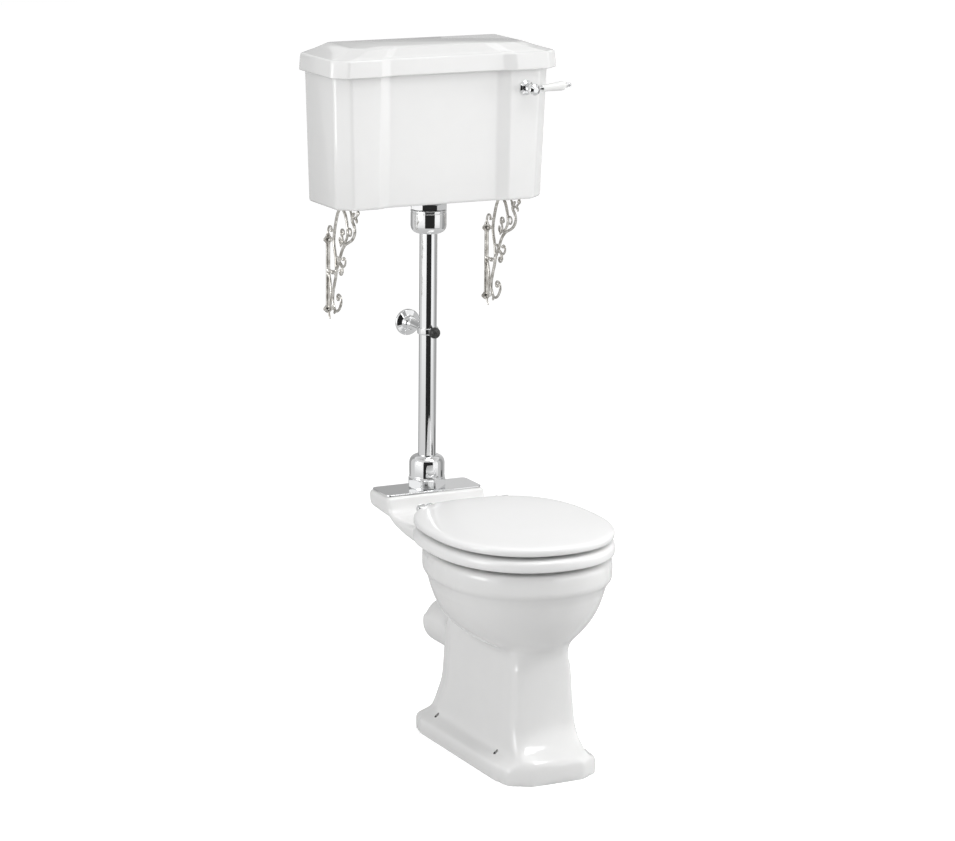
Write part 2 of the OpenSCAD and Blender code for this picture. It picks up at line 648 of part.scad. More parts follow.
lever_z = skirt_z - lever_drop;
lever_face_y = body_front_at(lever_z - cistern_base_z);
inlet_z = cistern_base_z + inlet_h;
inlet_y = pipe_y + 25;
inlet_wall_x = body_half_w_at(inlet_h);
screw_dx = lid_w - 2 * screw_inset;
screw_z = rim_top_z - screw_drop;
screw_hole_d = 8;

// Open tank of the cistern, before its holes are drilled.
module tank_form() difference() {
    loft([body_ring(0, 7), body_ring(2, 3), body_ring(7, 0), body_ring(body_h - 2, 0), body_ring(body_h, 2)]);
    loft([tank_ring(floor_t, 10), tank_ring(floor_t + 10, 0), tank_ring(body_h + 1, 0)]);
}

module cistern_body() color(china) difference() {
    resize([2 * body_half_w_at(body_h - 2), 0, 0]) tank_form();
    translate([0, pipe_y, cistern_base_z - 1])
        cylinder(h = floor_t + 2, d = tail_d + 3, $fn = 64);
    rod_y([lever_x, body_front_y - 5, lever_z], 60, 18);
    rod_x([inlet_wall_x - 40, inlet_y, inlet_z], 60, inlet_d + 1);
    for (x = [-1, 1])
        rod_y([x * screw_dx / 2, cistern_back_y - 2 * china_t, screw_z], 3 * china_t, screw_hole_d);
}

module cistern_spacers() color(rubber) for (x = [-1, 1]) difference() {
    rod_y([x * screw_dx / 2, cistern_back_y, screw_z], cistern_gap, spacer_d);
    rod_y([x * screw_dx / 2, cistern_back_y - 1, screw_z], cistern_gap + 2, screw_hole_d);
}

// Lid plan at a height above its crease, pulled in at the sides and front.
function lid_ring(z, side, front) =
    at_z(cistern_outline(lid_w / 2 - side, lid_front_y + front, lid_overhang - side), z);

crease_z = skirt_z + lid_edge_h;
top_margin = 62;
front_margin = 32;

module lid_form() difference() {
    loft([lid_ring(skirt_z, 2, 2), lid_ring(skirt_z + 2, 0, 0), lid_ring(skirt_z + 5, 0, 0),
        lid_ring(crease_z - 4, 3, 3), lid_ring(crease_z - 1, 4, 4), lid_ring(crease_z, 7, 6),
        lid_ring(crease_z + lid_rise * 0.2, top_margin * 0.34, front_margin * 0.36),
        lid_ring(crease_z + lid_rise * 0.55, top_margin * 0.68, front_margin * 0.7),
        lid_ring(crease_z + lid_rise * 0.9, top_margin * 0.97, front_margin),
        lid_ring(crease_z + lid_rise, top_margin + 4, front_margin + 4)]);
    // Pocket over the body's rim, then the shallow hollow above the tank.
    loft([for (z = [skirt_z - 1, rim_top_z])
        at_z(cistern_outline(lid_w / 2 - 9, lid_front_y + 10, 5, cistern_back_y + 1), z)]);
    loft([for (z = [rim_top_z - 1, crease_z - 6])
        at_z(tank_outline(body_half_w - 20, body_front_y + 34, cistern_back_y - 22, 12), z)]);
}

module cistern_lid() color(china) resize([lid_w, 0, 0]) lid_form();

// Siphon, its lift gear and the lever.

tube_r = siphon_tube_d / 2;
tube_wall = 3;
chamber_x = siphon_tube_d / 2 + 3 + chamber_d / 2;
riser_x = chamber_x - siphon_tube_d / 2;
chamber_z = tank_floor_z + 8;
link_x = chamber_x + chamber_d / 2 - rod_inset;
bend_z = rim_top_z - bend_drop;
seat_washer_t = 4;
flange_z = tank_floor_z + seat_washer_t;

// Half turn of tube over the top of the siphon.
module siphon_bend(r) translate([riser_x / 2, pipe_y, bend_z]) rotate([90, 0, 0])
    rotate_extrude(angle = 180, $fn = 96) translate([riser_x / 2, 0]) circle(r = r, $fn = 48);

module siphon_body() color(plastic) difference() {
    union() {
        translate([0, pipe_y, tail_z]) cylinder(h = bend_z - tail_z, d = siphon_tube_d, $fn = 64);
        translate([0, pipe_y, tail_z]) cylinder(h = flange_z - tail_z + 1, d = tail_d, $fn = 64);
        translate([0, pipe_y, flange_z]) cylinder(h = 6, d = 72, $fn = 64);
        translate([riser_x, pipe_y, chamber_z + chamber_h - 4])
            cylinder(h = bend_z - chamber_z - chamber_h + 4, d = siphon_tube_d, $fn = 64);
        translate([chamber_x, pipe_y, chamber_z]) cylinder(h = chamber_h, d = chamber_d, $fn = 64);
        siphon_bend(tube_r);
        // Web between the standpipe and the chamber, and the guide for the lift rod.
        translate([0, pipe_y - 5, flange_z + 2]) cube([riser_x - 12, 10, chamber_h - 4]);
        translate([link_x, pipe_y, chamber_z + chamber_h - 1]) cylinder(h = 13, d = rod_d + 8, $fn = 48);
    }
    translate([0, pipe_y, tail_z - 1])
        cylinder(h = bend_z - tail_z + 1, r = tube_r - tube_wall, $fn = 64);
    translate([riser_x, pipe_y, chamber_z + chamber_h - 10])
        cylinder(h = bend_z - chamber_z - chamber_h + 10, r = tube_r - tube_wall, $fn = 64);
    siphon_bend(tube_r - tube_wall);
    translate([chamber_x, pipe_y, chamber_z - 1])
        cylinder(h = chamber_h - 4, d = chamber_d - 6, $fn = 64);
    translate([link_x, pipe_y, chamber_z]) cylinder(h = chamber_h + 20, d = rod_d + 2 * run_gap, $fn = 48);
}

module siphon_washer() color(rubber)
    washer([0, pipe_y, tank_floor_z], seat_washer_t, 70, tail_d + 2 * run_gap);

diaphragm_z = chamber_z + 6;

module siphon_diaphragm() color(plastic) translate([chamber_x, pipe_y, diaphragm_z]) difference() {
    cylinder(h = 8, d = chamber_d - 8, $fn = 64);
    translate([link_x - chamber_x, 0, -1]) cylinder(h = 10, d = rod_d + 0.2, $fn = 48);
    for (t = [60 : 60 : 300]) rotate([0, 0, t]) translate([24, 0, -1]) cylinder(h = 10, d = 16, $fn = 32);
}

arm_reach = lever_x - link_x;
arm_low_z = lever_z - arm_reach * tan(lever_sweep / 2);
link_ring_r = 9;
link_wire_d = 3;
arm_bar_h = 4;
arm_bar_w = 6;
link_z = arm_low_z - link_ring_r + link_wire_d / 2 + arm_bar_h / 2 + 1.8;
rod_top_z = link_z - link_ring_r + 4;

module lift_rod() color(gunmetal) difference() {
    union() {
        translate([link_x, pipe_y, diaphragm_z - 3])
            cylinder(h = rod_top_z - diaphragm_z + 1, d = rod_d, $fn = 48);
        translate([link_x, pipe_y, diaphragm_z - 3]) cylinder(h = 3, d = 16, $fn = 48);
    }
    link_loop(link_wire_d + 2 * run_gap);
}

// Loop of wire round the lift arm.
module link_loop(d) translate([link_x, pipe_y, link_z]) rotate([0, 90, 0])
    rotate_extrude($fn = 64) translate([link_ring_r, 0]) circle(d = d, $fn = 32);

// Closed wire ring that hangs on the lift arm, with its eye in the rod.
module lift_link() color(gunmetal) link_loop(link_wire_d);

module lever_escutcheon() color(chrome) translate([lever_x, lever_face_y - 0.5, lever_z])
    rotate([90, 0, 0]) difference() {
        union() {
            cylinder(h = 2, d = 31, $fn = 64);
            translate([0, 0, 2]) cylinder(h = 3, d1 = 31, d2 = 24, $fn = 64);
        }
        translate([0, 0, -1]) cylinder(h = 8, d = 17 + 2 * run_gap, $fn = 48);
    }

module lever_bush() color(chrome) difference() {
    rod_y([lever_x, lever_face_y - 5, lever_z], 36, 17);
    rod_y([lever_x, lever_face_y - 6, lever_z], 40, 10 + 2 * run_gap);
}

lock_nut_y = body_front_at(lever_z - cistern_base_z) + panel_recess + china_t;

module lever_lock_nut() color(gunmetal) difference() {
    translate([lever_x, lock_nut_y + 0.5, lever_z]) rotate([-90, 0, 0]) cylinder(h = 7, d = 29, $fn = 6);
    rod_y([lever_x, lock_nut_y - 1, lever_z], 12, 17.2);
}

hub_y = lever_face_y - hub_out;
spindle_end_y = pipe_y + 7;
lever_tilt = 4;

// Puts a piece of the handle on the spindle, with its length along X.
module on_handle() translate([lever_x, hub_y, lever_z]) rotate([0, -lever_tilt, 0]) children();

module lever_spindle() color(chrome) {
    start = hub_y + hub_d / 2 - 1.8;
    rod_y([lever_x, start, lever_z], spindle_end_y - start, 10);
    rod_y([lever_x, start, lever_z], lever_face_y - 6 - start, 14.6);
}

bell_x = 20;
grip_len = lever_len - bell_x - 12;

module lever_hub() color(chrome) difference() {
    union() {
        rod_y([lever_x, hub_y - hub_d / 2 + 4, lever_z], hub_d - 4, hub_d);
        translate([lever_x, hub_y - hub_d / 2 + 4, lever_z]) rotate([90, 0, 0])
            cylinder(h = 3, d1 = hub_d, d2 = hub_d - 8, $fn = 48);
        on_handle() rotate([0, 90, 0]) {
            cylinder(h = bell_x, d = 9, $fn = 48);
            translate([0, 0, bell_x - 6]) cylinder(h = 6, d1 = 9, d2 = 17, $fn = 48);
        }
    }
    rod_y([lever_x, hub_y + hub_d / 2 - 2, lever_z], 10, 15);
    on_handle() rotate([0, 90, 0]) translate([0, 0, bell_x - 3]) cylinder(h = 10, d = 5, $fn = 32);
}

module lever_grip() color(china) on_handle() translate([bell_x, 0, 0]) rotate([0, 90, 0])
    rotate_extrude($fn = 64) difference() {
        union() {
            polygon([[0, 0], [8, 0], [7.6, 6], [10, grip_len - 9], [0, grip_len - 9]]);
            translate([4, grip_len - 9]) circle(r = 6, $fn = 48);
            translate([0, grip_len - 9]) square([4, 6]);
            square([5, grip_len]);
        }
        translate([-20, -1]) square([22.6, grip_len + 2]);
        translate([-20, grip_len]) square([40, 10]);
    }

module lever_tip() color(chrome) on_handle() rotate([0, 90, 0]) {
    translate([0, 0, bell_x - 2.9]) cylinder(h = grip_len + 3, d = 4.8, $fn = 32);
    translate([0, 0, bell_x + grip_len]) cylinder(h = 3, d = 11, $fn = 48);
    translate([0, 0, bell_x + grip_len + 3]) cylinder(h = 3, d1 = 11, d2 = 7, $fn = 48);
    translate([0, 0, bell_x + grip_len + 7.5]) sphere(d = 9, $fn = 48);
}

module lift_arm() color(gunmetal) translate([lever_x, pipe_y, lever_z])
    rotate([0, -lever_sweep / 2, 0]) difference() {
        union() {
            rod_y([0, -6, 0], 12, 20);
            translate([-arm_reach - 12, -arm_bar_w / 2, -arm_bar_h / 2])
                cube([arm_reach + 3, arm_bar_w, arm_bar_h]);
            translate([-arm_reach - 12, -arm_bar_w / 2, -arm_bar_h / 2 - 2])
                cube([3, arm_bar_w, arm_bar_h + 2]);
        }
        rod_y([0, -8, 0], 16, 10.2);
    }

// Float valve at the right side of the cistern.

valve_len = 44;
valve_x = inlet_wall_x - china_t - 1 - valve_len;
pivot_x = valve_x - 14;
pivot_z = inlet_z - 15;
piston_d = 12;
tail_x = 3;
piston_x = valve_x - 8;
ear_w = 20;
inlet_tail = 20;

module inlet_valve() color(gunmetal) difference() {
    union() {
        rod_x([valve_x, inlet_y, inlet_z], valve_len, 26);
        rod_x([valve_x + valve_len - 4, inlet_y, inlet_z], 3.5, 34);
        rod_x([valve_x + valve_len - 1, inlet_y, inlet_z], inlet_seat_x + 13 - valve_x - valve_len, 19);
        rod_x([valve_x + valve_len - 1, inlet_y, inlet_z], inlet_seat_x + 12 - valve_x - valve_len, inlet_d);
        rod_x([inlet_seat_x + 12, inlet_y, inlet_z], inlet_tail, inlet_d);
        for (s = [-1, 1]) translate([pivot_x - 6, inlet_y + s * (ear_w / 2 - 1.5) - 1.5, pivot_z - 6])
            cube([24, 3, 24]);
    }
    rod_x([valve_x - 1, inlet_y, inlet_z], 30, piston_d + 2 * run_gap);
    rod_x([valve_x, inlet_y, inlet_z], inlet_seat_x + 13 + inlet_tail - valve_x, 8);
    rod_y([pivot_x, inlet_y - 15, pivot_z], 30, 5);
    // Slot between the ears for the end of the float's arm.
    translate([pivot_x - 8, inlet_y - ear_w / 2 + 3, pivot_z - 8]) cube([20, ear_w - 6, 30]);
}

// The side leans, so the washer clears it by its own radius times the lean.
inlet_seat_x = inlet_wall_x + 17 * body_side_taper / body_h + 0.3;

module inlet_washer() color(rubber) difference() {
    rod_x([inlet_seat_x, inlet_y, inlet_z], 3, 34);
    rod_x([inlet_wall_x - 1, inlet_y, inlet_z], 8, inlet_d + 0.2);
}

module inlet_nut() color(gunmetal) difference() {
    translate([inlet_seat_x + 3.1, inlet_y, inlet_z]) rotate([0, 90, 0]) cylinder(h = 8, d = 34, $fn = 6);
    rod_x([inlet_wall_x - 1, inlet_y, inlet_z], 20, inlet_d + 0.2);
}

module valve_piston() color(gunmetal) rod_x([piston_x, inlet_y, inlet_z], 22, piston_d);

module float_pin() color(gunmetal) rod_y([pivot_x, inlet_y - ear_w / 2 - 2, pivot_z], ear_w + 4, 4.8);

float_up_slope = 6;
float_slope = float_up_slope + float_drop;

module float_arm() color(gunmetal) translate([pivot_x, inlet_y, pivot_z]) difference() {
    union() {
        rod_y([0, -6, 0], 12, 12);
        rotate([0, -float_slope, 0])
            rod_x([float_d / 2 - float_arm_len - 8, 0, 0], float_arm_len - float_d / 2 + 6, 6);
        rotate([0, -float_drop, 0]) translate([tail_x, -4, 0]) cube([5, 8, 18]);
    }
    rod_y([0, -8, 0], 16, 5.2);
}

module float_ball() color(plastic) translate([pivot_x, inlet_y, pivot_z]) rotate([0, -float_slope, 0])
    translate([-float_arm_len, 0, 0]) rotate([0, 90, 0]) rotate_extrude($fn = 64) difference() {
        circle(d = float_d, $fn = 40);
        translate([-float_d, -float_d]) square([float_d, 2 * float_d]);
        translate([-1, float_d / 2 - 9]) square([4.3, 20]);
    }

// Seat: the ring, the lid and their hinges.

ring_z = rim_z + ring_buffer_h;
cover_z = ring_z + ring_t + cover_buffer_h;
hinge_z = cover_z;
ring_mid_y = -45;
ring_half_w = rim_half_w + 7;
ring_front = rim_front + 8;
ring_back = hinge_y - 15;
ring_sides = 56;

// Outer and inner edge of the ring in plan.
ring_outer = oval(ring_half_w, -ring_front, ring_back, ring_mid_y, 2.2, ring_sides, 2.6);
ring_inner = oval(112, -193, 73, ring_mid_y, 2.2, ring_sides);

// One cut through the ring: flat below, rounded above.
function ring_section(i) =
    [for (p = [[0.03, 0], [0, 0.2], [0, 0.62], [0.05, 0.88], [0.16, 1], [0.6, 0.97], [0.86, 0.8],
            [0.97, 0.5], [1, 0.2], [0.96, 0]])
        let (q = ring_outer[i] + (ring_inner[i] - ring_outer[i]) * p[0])
        [q[0], q[1], ring_z + ring_t * p[1]]];

module ring_seat() color(china) loop_loft([for (i = [0 : ring_sides - 1]) ring_section(i)]);

// Buffers stand under the ring and under the lid, on both sides at front and back.
module buffer_set(x, front, back, z, h, d) color(rubber)
    for (s = [-1, 1], y = [front, back]) translate([s * x * (y == front ? 0.86 : 0.9), y, z])
        cylinder(h = h, d = d, $fn = 32);

module ring_buffers()
    buffer_set(ring_half_w * 0.77, ring_front * -0.555, ring_back * 0.515, rim_z,
        ring_buffer_h, ring_buffer_d);
module cover_buffers()
    buffer_set(ring_half_w * 0.745, ring_front * -0.52, ring_back * 0.46, cover_z - cover_buffer_h,
        cover_buffer_h, cover_buffer_d);

// Lid plan, drawn in from its edge.
function cover_outline(inset) =
    oval(ring_half_w - 2 - inset, 4 + inset - ring_front, ring_back + 3 - inset, ring_mid_y, 2.25, 56, 2.6);

module cover_seat() color(china) loft([
    at_z(cover_outline(3), cover_z), at_z(cover_outline(0.5), cover_z + 3),
    at_z(cover_outline(0), cover_z + cover_t * 0.55), at_z(cover_outline(2), cover_z + cover_t * 0.85),
    at_z(cover_outline(6), cover_z + cover_t), at_z(cover_outline(40), cover_z + cover_t + cover_rise * 0.5),
    at_z(cover_outline(90), cover_z + cover_t + cover_rise * 0.88),
    at_z(cover_outline(140), cover_z + cover_t + cover_rise)]);

knuckle_w = 13;
ring_knuckle_x = hinge_dx / 2 - 20;
cover_knuckle_x = hinge_dx / 2 + 20;

// Knuckle round the hinge rod, centred on x.
module knuckle(x) difference() {
    children();
    rod_x([x - knuckle_w, hinge_y, hinge_z], 2 * knuckle_w, hinge_rod_d + 2 * run_gap);
}

module ring_hinge_plates() color(chrome) for (s = [-1, 1]) let (x = s * ring_knuckle_x) knuckle(x) {
    union() {
        rod_x([x - knuckle_w / 2, hinge_y, hinge_z], knuckle_w, hinge_rod_d + 8);
        translate([x - knuckle_w / 2, ring_back + 1, ring_z - 4]) cube([knuckle_w, 7, hinge_z - ring_z + 1]);
        translate([x - knuckle_w / 2, ring_back - 44, ring_z - 4]) cube([knuckle_w, 48, 3.9]);
        translate([x - knuckle_w / 2, ring_back + 1, hinge_z - 7]) cube([knuckle_w, 12, 5]);
    }
}

module cover_hinge_plates() color(chrome) for (s = [-1, 1]) let (x = s * cover_knuckle_x) knuckle(x) {
    union() {
        rod_x([x - knuckle_w / 2, hinge_y, hinge_z], knuckle_w, hinge_rod_d + 8);
        translate([x - knuckle_w / 2, ring_back - 40, cover_z - 3.6]) cube([knuckle_w, 50, 3.5]);
    }
}

module hinge_rod() color(chrome)
    rod_x([-cover_knuckle_x - 10, hinge_y, hinge_z], 2 * cover_knuckle_x + 20, hinge_rod_d);

post_base_h = 5;

module hinge_posts() color(chrome) for (s = [-1, 1]) difference() {
    translate([s * hinge_dx / 2, hinge_y, rim_z + 2]) {
        cylinder(h = post_base_h, d = post_base_d, $fn = 64);
        cylinder(h = hinge_z - rim_z, d = post_d, $fn = 64);
        translate([0, 0, hinge_z - rim_z - 2]) sphere(d = post_d + 4, $fn = 48);
    }
    rod_x([s * hinge_dx / 2 - 20, hinge_y, hinge_z], 40, hinge_rod_d + 0.2);
    translate([s * hinge_dx / 2, hinge_y, rim_z]) cylinder(h = 18, d = hinge_bolt_d, $fn = 48);
}

wing_nut_z = deck_under_z - 12.5;

module hinge_bolts() color(chrome) for (s = [-1, 1])
    translate([s * hinge_dx / 2, hinge_y, wing_nut_z - 8])
        cylinder(h = rim_z + 18 - wing_nut_z, d = hinge_bolt_d - 0.2, $fn = 48);

module hinge_washers() color(rubber) for (s = [-1, 1]) {
    washer([s * hinge_dx / 2, hinge_y, rim_z + 0.1], 1.8, post_base_d, hinge_bolt_d + 0.2);
    washer([s * hinge_dx / 2, hinge_y, wing_nut_z + 8], 4, post_base_d - 4, hinge_bolt_d + 0.2);
}

module hinge_wing_nuts() color(plastic) for (s = [-1, 1])
    translate([s * hinge_dx / 2, hinge_y, wing_nut_z]) difference() {
        union() {
            cylinder(h = 8, d = 18, $fn = 48);
            for (t = [-1, 1]) translate([t * 12 - 5, -2, -6]) cube([10, 4, 12]);
        }
        translate([0, 0, -8]) cylinder(h = 20, d = hinge_bolt_d, $fn = 48);
    }

pan();
ledge_cover_plate();
pan_inlet_seal();
base_nut();
domed_cap();
flush_pipe();
pipe_joint_washer();
cup_nut();
tail_nut();
tail_outer_washer();
wall_rose();
clip_stem();
clip_ring();
stop_screw();
rubber_stop();
left_bracket();
right_bracket();
cistern_body();
cistern_spacers();
cistern_lid();
siphon_body();
siphon_washer();
siphon_diaphragm();
lift_rod();
lift_link();
lever_escutcheon();
lever_bush();
lever_lock_nut();
lever_spindle();
lever_hub();
lever_grip();
lever_tip();
lift_arm();
inlet_valve();
inlet_washer();
inlet_nut();
valve_piston();
float_pin();
float_arm();
float_ball();
ring_seat();
ring_buffers();
ring_hinge_plates();
cover_seat();
cover_buffers();
cover_hinge_plates();
hinge_rod();
hinge_posts();
hinge_bolts();
hinge_washers();
hinge_wing_nuts();
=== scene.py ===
import math

import bmesh
import bpy
from mathutils import Matrix, Vector


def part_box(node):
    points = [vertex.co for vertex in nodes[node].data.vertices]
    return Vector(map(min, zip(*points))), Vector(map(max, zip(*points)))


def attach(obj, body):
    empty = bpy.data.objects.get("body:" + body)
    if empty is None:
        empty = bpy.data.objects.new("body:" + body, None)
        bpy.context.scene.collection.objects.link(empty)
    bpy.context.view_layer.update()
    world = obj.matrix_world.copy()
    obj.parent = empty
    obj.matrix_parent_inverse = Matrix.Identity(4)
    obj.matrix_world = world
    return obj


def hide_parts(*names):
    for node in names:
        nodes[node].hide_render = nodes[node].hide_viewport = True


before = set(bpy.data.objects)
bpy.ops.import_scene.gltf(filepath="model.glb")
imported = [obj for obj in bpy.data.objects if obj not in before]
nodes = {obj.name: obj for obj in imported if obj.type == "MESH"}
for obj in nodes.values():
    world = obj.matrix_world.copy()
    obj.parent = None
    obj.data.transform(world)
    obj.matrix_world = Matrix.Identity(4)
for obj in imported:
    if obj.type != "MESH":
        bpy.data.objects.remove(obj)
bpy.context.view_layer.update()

# The looks of a medium level toilet. The pieces that show most are modelled anew
# in the place of their solids. The rest keep the solids' shape and get a finish.


def add_object(name, data):
    made = bpy.data.objects.new(name, data)
    bpy.context.scene.collection.objects.link(made)
    return made


def mesh_object(name, bm):
    """New object with the bmesh as its mesh. The bmesh is used up."""
    mesh = bpy.data.meshes.new(name)
    bm.to_mesh(mesh)
    bm.free()
    return add_object(name, mesh)


# Camera
# It stands 2.3 m up, to the left of the toilet's front, and looks down at it
# through a long lens, as the photograph was taken.

CAMERA_PLACE = Vector((-3.202, -6.164, 2.279))
CAMERA_AZIMUTH = math.radians(-26.966)
CAMERA_ELEVATION = math.radians(12.826)
CAMERA_ROLL = math.radians(0.5815)
LENS_MM = 132.33
SENSOR_MM = 36


def away_from(azimuth, elevation):
    """Direction from the object, where azimuth 0 is the front and both angles are in radians."""
    out = math.cos(elevation)
    return Vector((math.sin(azimuth) * out, -math.cos(azimuth) * out, math.sin(elevation)))


def aim_camera():
    cam = add_object("camera", bpy.data.cameras.new("camera"))
    back = away_from(CAMERA_AZIMUTH, CAMERA_ELEVATION)
    right = Vector((math.cos(CAMERA_AZIMUTH), math.sin(CAMERA_AZIMUTH), 0))
    up = back.cross(right)
    across = right * math.cos(CAMERA_ROLL) + up * math.sin(CAMERA_ROLL)
    above = up * math.cos(CAMERA_ROLL) - right * math.sin(CAMERA_ROLL)
    turn = Matrix((across, above, back)).transposed().to_4x4()
    cam.matrix_world = Matrix.Translation(CAMERA_PLACE) @ turn
    cam.data.sensor_width = SENSOR_MM
    cam.data.lens = LENS_MM
    bpy.context.scene.camera = cam


aim_camera()

# Shaders
# A material is written as an expression, in which sums and products of sockets
# add the Math nodes. Textures read the object's own coordinates, in metres.

# Outputs of the Light Path node: a ray from the eye, from a mirror, or through a clear body.
SEEN = 0
MIRRORED = 3
THROUGH = 6
# Output of the Texture Coordinate node: the place on the object.
OBJECT_SPACE = 3


class Value:
    """A shader socket. Arithmetic on it adds the Math nodes of the expression."""

    def __init__(self, tree, socket):
        self.tree = tree
        self.socket = socket

    def math(self, operation, other=None):
        node = self.tree.nodes.new("ShaderNodeMath")
        node.operation = operation
        join(self.tree, node.inputs[0], self)
        if other is not None:
            join(self.tree, node.inputs[1], other)
        return Value(self.tree, node.outputs[0])

    def __add__(self, other):
        return self.math("ADD", other)

    def __sub__(self, other):
        return self.math("SUBTRACT", other)

    def __mul__(self, other):
        return self.math("MULTIPLY", other)

    __radd__ = __add__
    __rmul__ = __mul__


def join(tree, slot, value):
    if isinstance(value, Value):
        tree.links.new(value.socket, slot)
    else:
        slot.default_value = value


class Finish:
    """A node tree under construction: a material's, or the world's."""

    def __init__(self, tree):
        self.tree = tree
        tree.nodes.clear()

    def node(self, kind, settings=None, output=0, **inputs):
        """Adds a node. Inputs go by name, with _ for a space, or as _0, _1 by number."""
        made = self.tree.nodes.new("ShaderNode" + kind)
        for name, value in (settings or {}).items():
            if name == "stops":
                set_stops(made.color_ramp, value)
            else:
                setattr(made, name, value)
        for name, value in inputs.items():
            key = int(name[1:]) if name[1:].isdigit() else name.replace("_", " ")
            join(self.tree, made.inputs[key], value)
        return Value(self.tree, made.outputs[output]) if made.outputs else None

    def noise(self, scale, detail):
        place = self.node("TexCoord", output=OBJECT_SPACE)
        return self.node("TexNoise", Vector=place, Scale=scale, Detail=detail)

    def ramp(self, value, *stops):
        """Grey for a value, from stops of (value, grey)."""
        return self.node("ValToRGB", {"stops": stops}, Fac=value)

    def blend(self, share, first, second):
        return self.node("MixRGB", Fac=share, Color1=first, Color2=second)

    def relief(self, strength, distance, height):
        return self.node("Bump", Strength=strength, Distance=distance, Height=height)

    def show(self, shader, kind="OutputMaterial"):
        self.node(kind, Surface=shader)

    def coat(self, **inputs):
        """Ends the material with a principled shader of these inputs."""
        self.show(self.node("BsdfPrincipled", **inputs))


def set_stops(ramp, stops):
    while len(ramp.elements) < len(stops):
        ramp.elements.new(1)
    for element, (place, level) in zip(ramp.elements, stops):
        element.position = place
        element.color = (level, level, level, 1)


def material(name):
    made = bpy.data.materials.new(name)
    made.use_nodes = True
    return made, Finish(made.node_tree)


# Studio
# A white floor and backdrop under soft boxes. Chrome also mirrors a ring of dark and grey
# screens and a floor with painted shade that greys towards the object, as in the photograph.

FLOOR_REACH = 14
PAN_MIDDLE = Vector((0, 0.1, 0.5))
PAN_TOP = Vector((0, 0.1, 0.7))
MIDDLE = Vector((0, 0.2, 0.8))
CISTERN_MIDDLE = Vector((0, 0.35, 1.25))
SEAT_MIDDLE = Vector((0.02, -0.05, 0.45))
PIPE_FOOT = sum(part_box("flush_pipe"), Vector()) / 2 * Vector((1, 1, 0))
SCREEN_RADIUS = 2.2
SCREEN_FOOT = 0.004
TALL = 2.2
# Start and end of each screen in degrees round the pipe, its top in metres and its grey level.
SCREENS = {
    "dark_front": (-49, 14, TALL, 0.022),
    "grey_right": (50, 72, TALL, 0.56),
    "dusk_right": (72, 100, TALL, 0.33),
    "grey_far_right": (100, 130, TALL, 0.5),
    "grey_left": (-150, -112, TALL, 0.66),
    "dark_left": (-178, -150, TALL, 0.35),
    "dark_low": (14, 52, 0.075, 0.03),
    "dark_side": (79, 90, 0.12, 0.05),
    "grey_back": (130, 182, TALL, 0.42),
    "pale_back": (130, 153, 1.5, 0.62)}
# Painted shade of the floor round the object, as mirrors see it: greys at shares of its reach from the
# pipe.
FLOOR_SHADE_GREYS = ((0.1, 0.56), (0.42, 0.64), (0.6, 0.76), (0.82, 0.97), (1, 1))
MIRRORED_REACH = 5


def lay_floor():
    """Floor that is white to the eye and in mirrors, and throws back a plain grey light."""
    bm = bmesh.new()
    bmesh.ops.create_grid(bm, x_segments=1, y_segments=1, size=FLOOR_REACH)
    floor = mesh_object("floor", bm)
    white, f = material("floor_white")
    seen = f.node("LightPath", output=SEEN)
    mirrored = f.node("LightPath", output=MIRRORED)
    plain = f.node("BsdfDiffuse", Color=(0.6, 0.6, 0.6, 1))
    glow = f.node("Emission", Color=(1, 1, 1, 1), Strength=0.66)
    lit = f.node("AddShader", _0=plain, _1=glow)
    f.show(f.node("MixShader", Fac=seen.math("MAXIMUM", mirrored), _1=plain, _2=lit))
    floor.data.materials.append(white)


def light_world():
    """White all round: full to the eye, weaker as light, and dimmer overhead in mirrors."""
    world = bpy.data.worlds.new("studio")
    bpy.context.scene.world = world
    world.use_nodes = True
    f = Finish(world.node_tree)
    seen = f.node("LightPath", output=SEEN)
    mirrored = f.node("LightPath", output=MIRRORED)
    through = f.node("LightPath", output=THROUGH)
    direct = seen.math("MAXIMUM", mirrored).math("MAXIMUM", through)
    height = f.node("SeparateXYZ", output=2, Vector=f.node("TexCoord"))
    dusk = f.ramp(height, (0.3, 0.0), (0.85, 0.4))
    strength = 0.6 + 0.4 * direct - mirrored * dusk
    f.show(f.node("Background", Color=(1, 1, 1, 1), Strength=strength), "OutputWorld")


def hang_light(name, azimuth, elevation, distance, size, power, target, spread=180):
    """Soft box with a width and height in metres, a power in watts and its angles in degrees."""
    data = bpy.data.lights.new(name, "AREA")
    data.shape = "RECTANGLE"
    data.size, data.size_y = size
    data.energy = power
    data.spread = math.radians(spread)
    lamp = add_object(name, data)
    away = away_from(math.radians(azimuth), math.radians(elevation))
    lamp.location = target + away * distance
    lamp.rotation_mode = "QUATERNION"
    lamp.rotation_quaternion = away.to_track_quat("Z", "Y")
    return lamp


def show_in_mirrors(bm, name, place, grey):
    """Stage piece that only mirror rays see, so it shades no surface and hides nothing."""
    piece = mesh_object(name, bm)
    piece.location = place
    glow, f = material(name)
    f.show(f.node("Emission", Color=grey(f), Strength=1.0))
    piece.data.materials.append(glow)
    piece.visible_camera = False
    piece.visible_diffuse = False
    piece.visible_shadow = False
    piece.visible_transmission = False


def hang_screen(name, start, end, top, grey):
    """Curved screen. The low ones stand a little nearer to the pipe than the tall ones."""
    bm = bmesh.new()
    bmesh.ops.create_grid(bm, x_segments=12, y_segments=1, size=0.5)
    radius = SCREEN_RADIUS * (1 if top == TALL else 0.97)
    for v in bm.verts:
        turn = math.radians(start + (end - start) * (v.co.x + 0.5))
        height = SCREEN_FOOT + top * (v.co.y + 0.5)
        v.co = Vector((radius * math.sin(turn), -radius * math.cos(turn), height))
    show_in_mirrors(bm, name, PIPE_FOOT, lambda f: (grey, grey, grey, 1))
